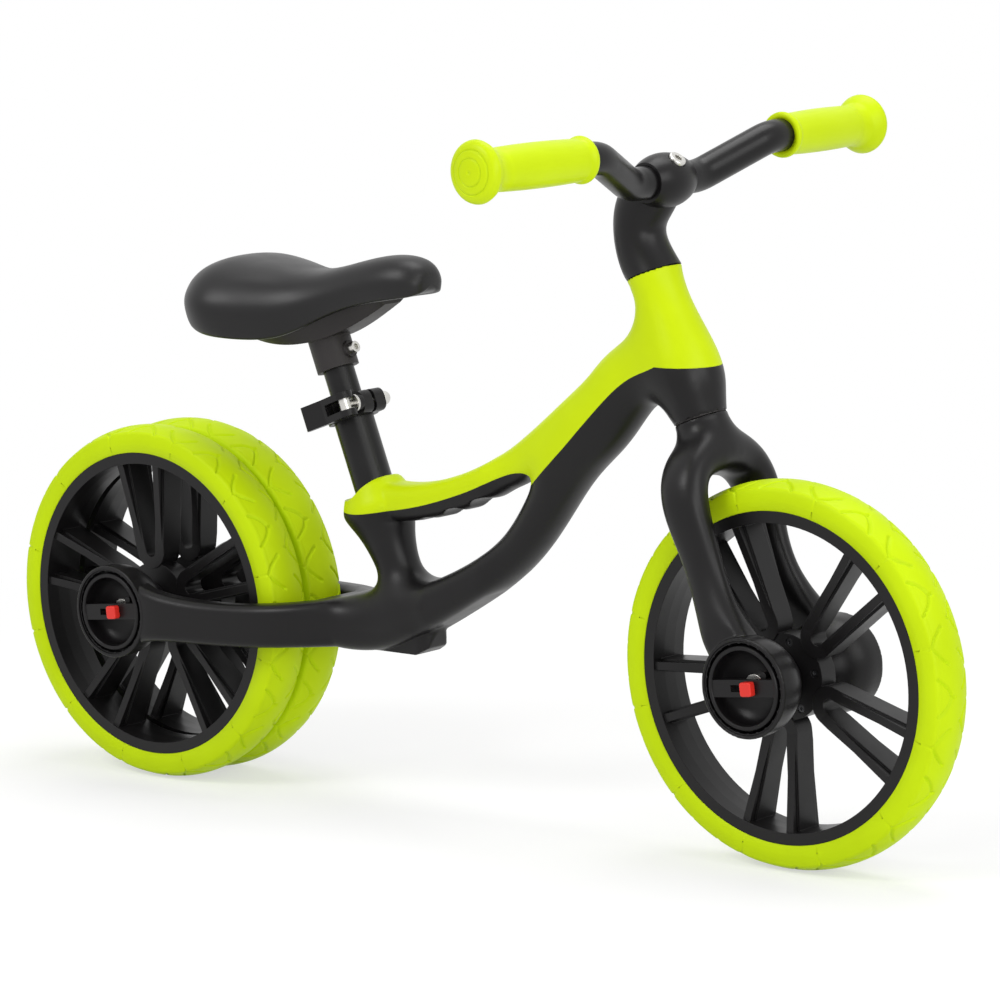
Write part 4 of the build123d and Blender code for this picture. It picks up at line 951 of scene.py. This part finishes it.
@dataclass
class Saddle:
    """Saddle on its post: skinned foam cushion, pan, post and bolt.

    Attributes:
        stations: Sections from tail to nose: shares of length, half width, top, bottom and hollow.
        outline: Half a section from crown to skirt: shares of half width and height.
        skirt: Thickness of the skirt round the hollow.
        skirt_share: Most that the skirt takes of a section's half width.
        pan_shape: Half the hollow from skirt to middle: shares of half width and depth.
    """

    stations: tuple[tuple[float, float, float, float, float], ...] = (
        (0.000, 0.34, 0.58, 0.36, 0.02),
        (0.020, 0.58, 0.70, 0.26, 0.04),
        (0.070, 0.85, 0.84, 0.13, 0.08),
        (0.160, 1.02, 0.93, 0.05, 0.13),
        (0.240, 1.00, 0.90, 0.02, 0.16),
        (0.330, 0.88, 0.86, 0.00, 0.17),
        (0.420, 0.73, 0.80, 0.01, 0.17),
        (0.500, 0.60, 0.78, 0.10, 0.15),
        (0.580, 0.50, 0.81, 0.24, 0.11),
        (0.660, 0.45, 0.87, 0.35, 0.08),
        (0.740, 0.42, 0.94, 0.43, 0.06),
        (0.850, 0.40, 1.01, 0.50, 0.03),
        (0.940, 0.34, 0.98, 0.54, 0.02),
        (0.985, 0.24, 0.89, 0.58, 0.02),
        (1.000, 0.13, 0.78, 0.64, 0.01),
    )
    outline: tuple[Spot, ...] = (
        (0.00, 1.000),
        (0.30, 0.985),
        (0.58, 0.925),
        (0.82, 0.780),
        (0.97, 0.560),
        (1.01, 0.390),
        (0.97, 0.200),
        (0.92, 0.060),
        (0.86, 0.000),
    )
    skirt: float = 7.0 * MM
    skirt_share: float = 0.3
    pan_shape: tuple[Spot, ...] = ((1.0, 0.2), (0.94, 1.0), (0.4, 1.0), (0.0, 1.0))

    def section(self, half: float, top: float, bottom: float, hollow: float) -> np.ndarray:
        """Closed section of the cushion, with the hollow that takes the pan.

        Args:
            half: Half its width.
            top: Height of its crown.
            bottom: Height of its skirt's edge.
            hollow: Depth of the hollow under it.

        Returns:
            Place across and height for each point.
        """
        side = [(half * across, bottom + (top - bottom) * up) for across, up in self.outline]
        inner = self.outline[-1][0] * half - min(self.skirt, self.skirt_share * half)
        side += [(inner * across, bottom + hollow * up) for across, up in self.pan_shape]
        other = [(-across, height) for across, height in reversed(side[1:-1])]
        return np.array(side + other)

    def build(self) -> list[bpy.types.Object]:
        """Build the cushion in place of its plain node.

        Returns:
            The cushion alone.
        """
        low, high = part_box("saddle_cushion")
        size = high - low
        rows = []
        for along, wide, top, bottom, hollow in self.stations:
            section = self.section(
                wide * size.y / 2, low.z + top * size.z, low.z + bottom * size.z, hollow * size.z
            )
            x = np.full(len(section), low.x + along * size.x)
            rows.append(np.stack([x, section[:, 0], section[:, 1]], 1))
        ring = len(rows[0])
        faces = ring_faces(len(rows), ring, False)
        last = (len(rows) - 1) * ring
        faces += [tuple(reversed(range(ring))), tuple(range(last, last + ring))]
        cushion = piece("saddle_skin_cushion", np.concatenate(rows), faces, SADDLE_SKIN)
        rounding = cushion.modifiers.new("rounding", "SUBSURF")
        rounding.levels = rounding.render_levels = 3
        settle(cushion)
        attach(cushion, "saddle")
        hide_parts("saddle_cushion")
        return [cushion]

    def dress(self) -> None:
        """Finish the pan, the post and the bolt."""
        dress(GREY_MOULDING, "saddle_base")
        dress(BLACK_COAT, "seat_post")
        dress(ZINC_PLATE, "saddle_bolt")


@dataclass
class MainFrame:
    """Moulded frame with its lime cover, head bushes, seat tube and clamp.

    The body and the cover are skinned together, so that the tubes flow into each other, and then parted along
    the seam between them.

    Attributes:
        form: How the skin is made.
        foot_ease: Where smoothing sets in above the head's lower end.
        top_ease: Where smoothing sets in below the head's upper end.
        front_ease: Where smoothing sets in behind the head's line.
        near_ease: Where the head's own limits set in, behind its line.
        neck_ease: Where the neck's smoothing sets in, along the bike.
        pillar_middle: Middle of the seat pillar's foot, along the bike.
        pillar_ease: Where the pillar's smoothing sets in, from that middle.
        pillar_foot: Where the pillar's smoothing sets in from below.
        pillar_top: Where the pillar's smoothing sets in from above.
        seam: Points along the seam from the seat pillar to the head, side view.
        seam_steps: Pieces between two points of the seam.
        collar: Points along the slanted edge of the collar round the seat tube, side view.
        collar_steps: Pieces between two points of the collar.
        half_width: Half the width of the blocks that part the skin.
        margin: How far the blocks reach past the skin.
    """

    form: Skin = Skin(voxel=1.2 * MM, passes=600, swell=4.3 * MM)
    foot_ease: Spot = (4 * MM, 14 * MM)
    top_ease: Spot = (5 * MM, 16 * MM)
    front_ease: Spot = (4 * MM, -8 * MM)
    near_ease: Spot = (-52 * MM, -32 * MM)
    neck_ease: Spot = (22 * MM, 46 * MM)
    pillar_middle: float = -66 * MM
    pillar_ease: Spot = (44 * MM, 30 * MM)
    pillar_foot: Spot = (128 * MM, 142 * MM)
    pillar_top: Spot = (206 * MM, 192 * MM)
    seam: tuple[Spot, ...] = (
        (-96.3 * MM, 210.4 * MM),
        (-73.3 * MM, 211.4 * MM),
        (-31.3 * MM, 218.9 * MM),
        (9.7 * MM, 231.4 * MM),
        (42.7 * MM, 244.9 * MM),
        (57.7 * MM, 248.9 * MM),
        (66.5 * MM, 247.7 * MM),
        (72.0 * MM, 242.2 * MM),
        (101.0 * MM, 267.2 * MM),
        (151.0 * MM, 314.2 * MM),
        (185.5 * MM, 330.7 * MM),
    )
    seam_steps: int = 12
    collar: tuple[Spot, ...] = (
        (-130.0 * MM, 217.0 * MM),
        (-100.0 * MM, 217.5 * MM),
        (-87.5 * MM, 220.5 * MM),
        (-79.0 * MM, 229.0 * MM),
        (-70.0 * MM, 237.0 * MM),
        (-60.0 * MM, 243.0 * MM),
        (-45.0 * MM, 248.0 * MM),
    )
    collar_steps: int = 8
    half_width: float = 90.0 * MM
    margin: float = 20.0 * MM

    def freedom(self, points: np.ndarray) -> np.ndarray:
        """How freely the skin may be smoothed at each point.

        Args:
            points: Points of the skin.

        Returns:
            A share from 0, where the skin stays as it is, to 1.
        """
        x, z = points[:, 0], points[:, 2]
        up, ahead = HEAD.place(points)
        between_rims = eased(up, *self.foot_ease) * eased(HEAD.length - up, *self.top_ease)
        behind_head = eased(ahead, *self.front_ease)
        near_head = eased(ahead, *self.near_ease)
        neck = eased(x, *self.neck_ease) * (1 - near_head * (1 - between_rims * behind_head))
        pillar = eased(np.abs(x - self.pillar_middle), *self.pillar_ease)
        pillar *= eased(z, *self.pillar_foot) * eased(z, *self.pillar_top)
        return np.maximum(neck, pillar)

    def block(self, name: str, edge: np.ndarray) -> bpy.types.Object:
        """Make a block of all that lies above an edge, side view.

        Args:
            name: Name of the block.
            edge: Points along its lower edge, from the rear to the front.

        Returns:
            The block.
        """
        top = CAD_BOX[1].z + self.half_width
        outline = np.concatenate([edge, [(edge[-1, 0], top), (edge[0, 0], top)]])
        rows = [np.insert(outline, 1, side * self.half_width, axis=1) for side in (1, -1)]
        count = len(outline)
        faces = ring_faces(2, count, False)
        faces += [tuple(reversed(range(count))), tuple(range(count, 2 * count))]
        return piece(name, np.concatenate(rows), faces, LIME_MOULDING)

    def build(self) -> list[bpy.types.Object]:
        """Build the body and the cover in place of their plain nodes.

        Returns:
            The body and the cover.
        """
        nodes = ("frame_body", "frame_cover", "right_stay", "left_stay")
        skin = self.form.build("frame_skin", nodes, self.freedom)
        reach = np.array([(self.half_width, 0.0)])
        seam = smooth_line(np.array(self.seam), self.seam_steps)
        above_seam = self.block("above_seam", np.concatenate([seam[:1] - reach, seam, seam[-1:] + reach]))
        above_collar = self.block("above_collar", smooth_line(np.array(self.collar), self.collar_steps))
        stay_low, stay_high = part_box("right_stay")
        floor = -self.margin
        stays = self.block("stays", np.array([(stay_low.x - self.margin, floor), (stay_high.x, floor)]))
        body_cuts = (("DIFFERENCE", above_seam), ("DIFFERENCE", stays))
        cover_cuts = (("INTERSECT", above_seam), ("DIFFERENCE", above_collar))
        made = []
        for name, node, finish, slot, cuts in (
            ("moulded_frame_body", "frame_body", BLACK_FLUSH, "black_plastic", body_cuts),
            ("moulded_frame_cover", "frame_cover", LIME_MOULDING, "lime_plastic", cover_cuts),
        ):
            part = bpy.data.objects.new(name, skin.data.copy())
            bpy.context.scene.collection.objects.link(part)
            for operation, block in cuts:
                parting = part.modifiers.new(block.name, "BOOLEAN")
                parting.operation = operation
                parting.solver = "MANIFOLD"
                parting.object = block
            settle(part)
            finish_part(part, finish)
            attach(part, "frame")
            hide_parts(node)
            made.append(part)
        for scrap in (skin, above_seam, above_collar, stays):
            bpy.data.objects.remove(scrap)
        return made

    def dress(self) -> None:
        """Finish all that is fixed to the frame."""
        dress(BLACK_FLUSH, "right_stay", "left_stay")
        dress(BLACK_MOULDING, "rear_axle_cap", "seat_clamp", "clamp_lever", "clamp_bush")
        dress(BLACK_COAT, "seat_tube")
        dress(GREY_MOULDING, "upper_head_bush", "lower_head_bush", "seat_shim", "rear_hub_spacer")
        dress(ZINC_PLATE, "clamp_bolt", "clamp_barrel", "clamp_nut", "clamp_washer", "rear_washers")


def dress_quick_release(name: str) -> None:
    """Finish the knob, its post, the axle and the red lock of one axle.

    Args:
        name: Start of the nodes' names.
    """
    dress(BLACK_MOULDING, f"{name}_knob", f"{name}_latch_pin", f"{name}_detent_ring")
    dress(ZINC_PLATE, f"{name}_axle")
    dress(RED_MOULDING, f"{name}_button")


@dataclass
class Studio:
    """White sweep, soft lamps and the camera at the photograph's view.

    Attributes:
        eye: Place of the camera.
        aim: Point at the middle of the picture.
        roll: Turn of the camera about its own line, in degrees.
        lens: Focal length in millimetres on a sensor of the given width.
        sensor: Width of the sensor in millimetres.
        lamps: Name, place, width and power of each lamp, all aimed at the bike's middle.
        lit_height: Height of the bike's middle, at which the lamps are aimed.
        ambient: Strength of the light from all round.
        floor_half: Half the width of the floor.
        bounce: How much light the floor throws back on the bike.
        shade: How much of the floor's seen brightness a shadow can take away.
        white: Brightness that the floor keeps in shadow.
        fade_from: Distance from the middle where the floor starts to turn pure white.
        fade_to: Distance from the middle where it is pure white.
    """

    eye: tuple[float, float, float] = (1.9866, -2.3361, 0.7047)
    aim: tuple[float, float, float] = (0.0304, 0.0, 0.2264)
    roll: float = -1.5
    lens: float = 161.2
    sensor: float = 36.0
    lamps: tuple[tuple[str, tuple[float, float, float], float, float], ...] = (
        ("key_lamp", (-0.6, -2.2, 2.2), 1.1, 32.0),
        ("side_lamp", (2.6, -0.2, 1.5), 1.5, 22.0),
        ("fill_lamp", (2.5, -1.5, 0.8), 1.2, 17.0),
        ("top_lamp", (0.0, 0.6, 2.8), 1.6, 32.0),
    )
    lit_height: float = 0.25
    ambient: float = 0.42
    floor_half: float = 9.0
    bounce: float = 0.8
    shade: float = 0.45
    white: float = 0.57
    fade_from: float = 0.45
    fade_to: float = 1.1

    def camera(self) -> None:
        """Place the camera and make it the scene's own."""
        data = bpy.data.cameras.new("photo_camera")
        data.lens = self.lens
        data.sensor_width = self.sensor
        data.sensor_fit = "HORIZONTAL"
        data.clip_end = 60.0
        camera = bpy.data.objects.new("photo_camera", data)
        bpy.context.scene.collection.objects.link(camera)
        ahead = (Vector(self.aim) - Vector(self.eye)).normalized()
        right = ahead.cross(Vector((0, 0, 1))).normalized()
        up = right.cross(ahead)
        turn = math.radians(self.roll)
        across = right * math.cos(turn) + up * math.sin(turn)
        upright = up * math.cos(turn) - right * math.sin(turn)
        view = Matrix((across, upright, -ahead)).transposed().to_4x4()
        camera.matrix_world = Matrix.Translation(self.eye) @ view
        bpy.context.scene.camera = camera

    def light(self) -> None:
        """Hang the lamps and set the light from all round."""
        middle = Vector((0.0, 0.0, self.lit_height))
        for name, place, width, power in self.lamps:
            data = bpy.data.lights.new(name, "AREA")
            data.shape = "SQUARE"
            data.size = width
            data.energy = power
            lamp = bpy.data.objects.new(name, data)
            lamp.location = place
            lamp.rotation_euler = (middle - Vector(place)).to_track_quat("-Z", "Y").to_euler()
            bpy.context.scene.collection.objects.link(lamp)
        world = bpy.data.worlds.new("white_room")
        bpy.context.scene.world = world
        world.use_nodes = True
        tree = world.node_tree
        tree.nodes.clear()
        output = tree.nodes.new("ShaderNodeOutputWorld")
        mix = tree.nodes.new("ShaderNodeMixShader")
        tree.links.new(self.plain_sight(tree), mix.inputs[0])
        for slot, strength in ((1, self.ambient), (2, 1.0)):
            sky = tree.nodes.new("ShaderNodeBackground")
            sky.inputs["Color"].default_value = WHITE
            sky.inputs["Strength"].default_value = strength
            tree.links.new(sky.outputs[0], mix.inputs[slot])
        tree.links.new(mix.outputs[0], output.inputs[0])

    def plain_sight(self, tree: bpy.types.NodeTree) -> bpy.types.NodeSocket:
        """Add a switch that is 1 for rays that show the background.

        Args:
            tree: The tree to write to.

        Returns:
            The switch's socket.
        """
        path = tree.nodes.new("ShaderNodeLightPath")
        total = path.outputs["Is Camera Ray"]
        for name in ("Is Glossy Ray", "Is Transmission Ray"):
            most = tree.nodes.new("ShaderNodeMath")
            most.operation = "MAXIMUM"
            tree.links.new(total, most.inputs[0])
            tree.links.new(path.outputs[name], most.inputs[1])
            total = most.outputs[0]
        return total

    def floor(self) -> None:
        """Lay the pale floor, which shows white but keeps the bike's shadow."""
        half = self.floor_half
        corners = [(-half, -half, 0), (half, -half, 0), (half, half, 0), (-half, half, 0)]
        mesh = bpy.data.meshes.new("studio_floor")
        mesh.from_pydata(corners, [], [(0, 1, 2, 3)])
        laid = bpy.data.objects.new("studio_floor", mesh)
        bpy.context.scene.collection.objects.link(laid)
        material = bpy.data.materials.new("studio_floor")
        sheet = NodeSheet(material)
        plain = sheet.add("ShaderNodeBsdfDiffuse", Color=(self.bounce,) * 3 + (1.0,))
        shade = sheet.add("ShaderNodeBsdfDiffuse", Color=(self.shade,) * 3 + (1.0,))
        white = sheet.add("ShaderNodeEmission", Color=WHITE, Strength=self.white)
        sweep = sheet.add("ShaderNodeEmission", Color=WHITE, Strength=1.0)
        near = sheet.tree.nodes.new("ShaderNodeAddShader")
        sheet.feed(near.inputs[0], shade.outputs[0])
        sheet.feed(near.inputs[1], white.outputs[0])
        place = sheet.add("ShaderNodeTexCoord").outputs["Object"]
        away = sheet.add("ShaderNodeVectorMath", Vector=place)
        away.operation = "LENGTH"
        fade = sheet.add(
            "ShaderNodeMapRange", Value=away.outputs["Value"], From_Min=self.fade_from, From_Max=self.fade_to
        )
        shown = sheet.tree.nodes.new("ShaderNodeMixShader")
        mix = sheet.tree.nodes.new("ShaderNodeMixShader")
        for node, switch, first, second in (
            (shown, fade.outputs["Result"], near, sweep),
            (mix, self.plain_sight(sheet.tree), plain, shown),
        ):
            sheet.feed(node.inputs[0], switch)
            sheet.feed(node.inputs[1], first.outputs[0])
            sheet.feed(node.inputs[2], second.outputs[0])
        sheet.feed(sheet.output.inputs["Surface"], mix.outputs[0])
        mesh.materials.append(material)

    def build(self) -> None:
        """Set the camera, the lamps, the floor and the view."""
        self.camera()
        self.light()
        self.floor()
        bpy.context.scene.view_settings.view_transform = "Standard"


def main() -> None:
    """Build and dress each sub-assembly, then the studio."""
    logging.basicConfig(level=logging.INFO, format="%(message)s")
    wheels = [Wheel(name, f"{name}_wheel") for name in ("front", "rear_right", "rear_left")]
    for assembly in (MainFrame(), *wheels, Steering(), Saddle()):
        for part in assembly.build():
            log.info("built %s", part.name)
        assembly.dress()
    dress(SCREW_STEEL, "front_hub_screws")
    for name in ("front", "rear"):
        dress_quick_release(name)
    Studio().build()


if __name__ == "__main__":
    main()
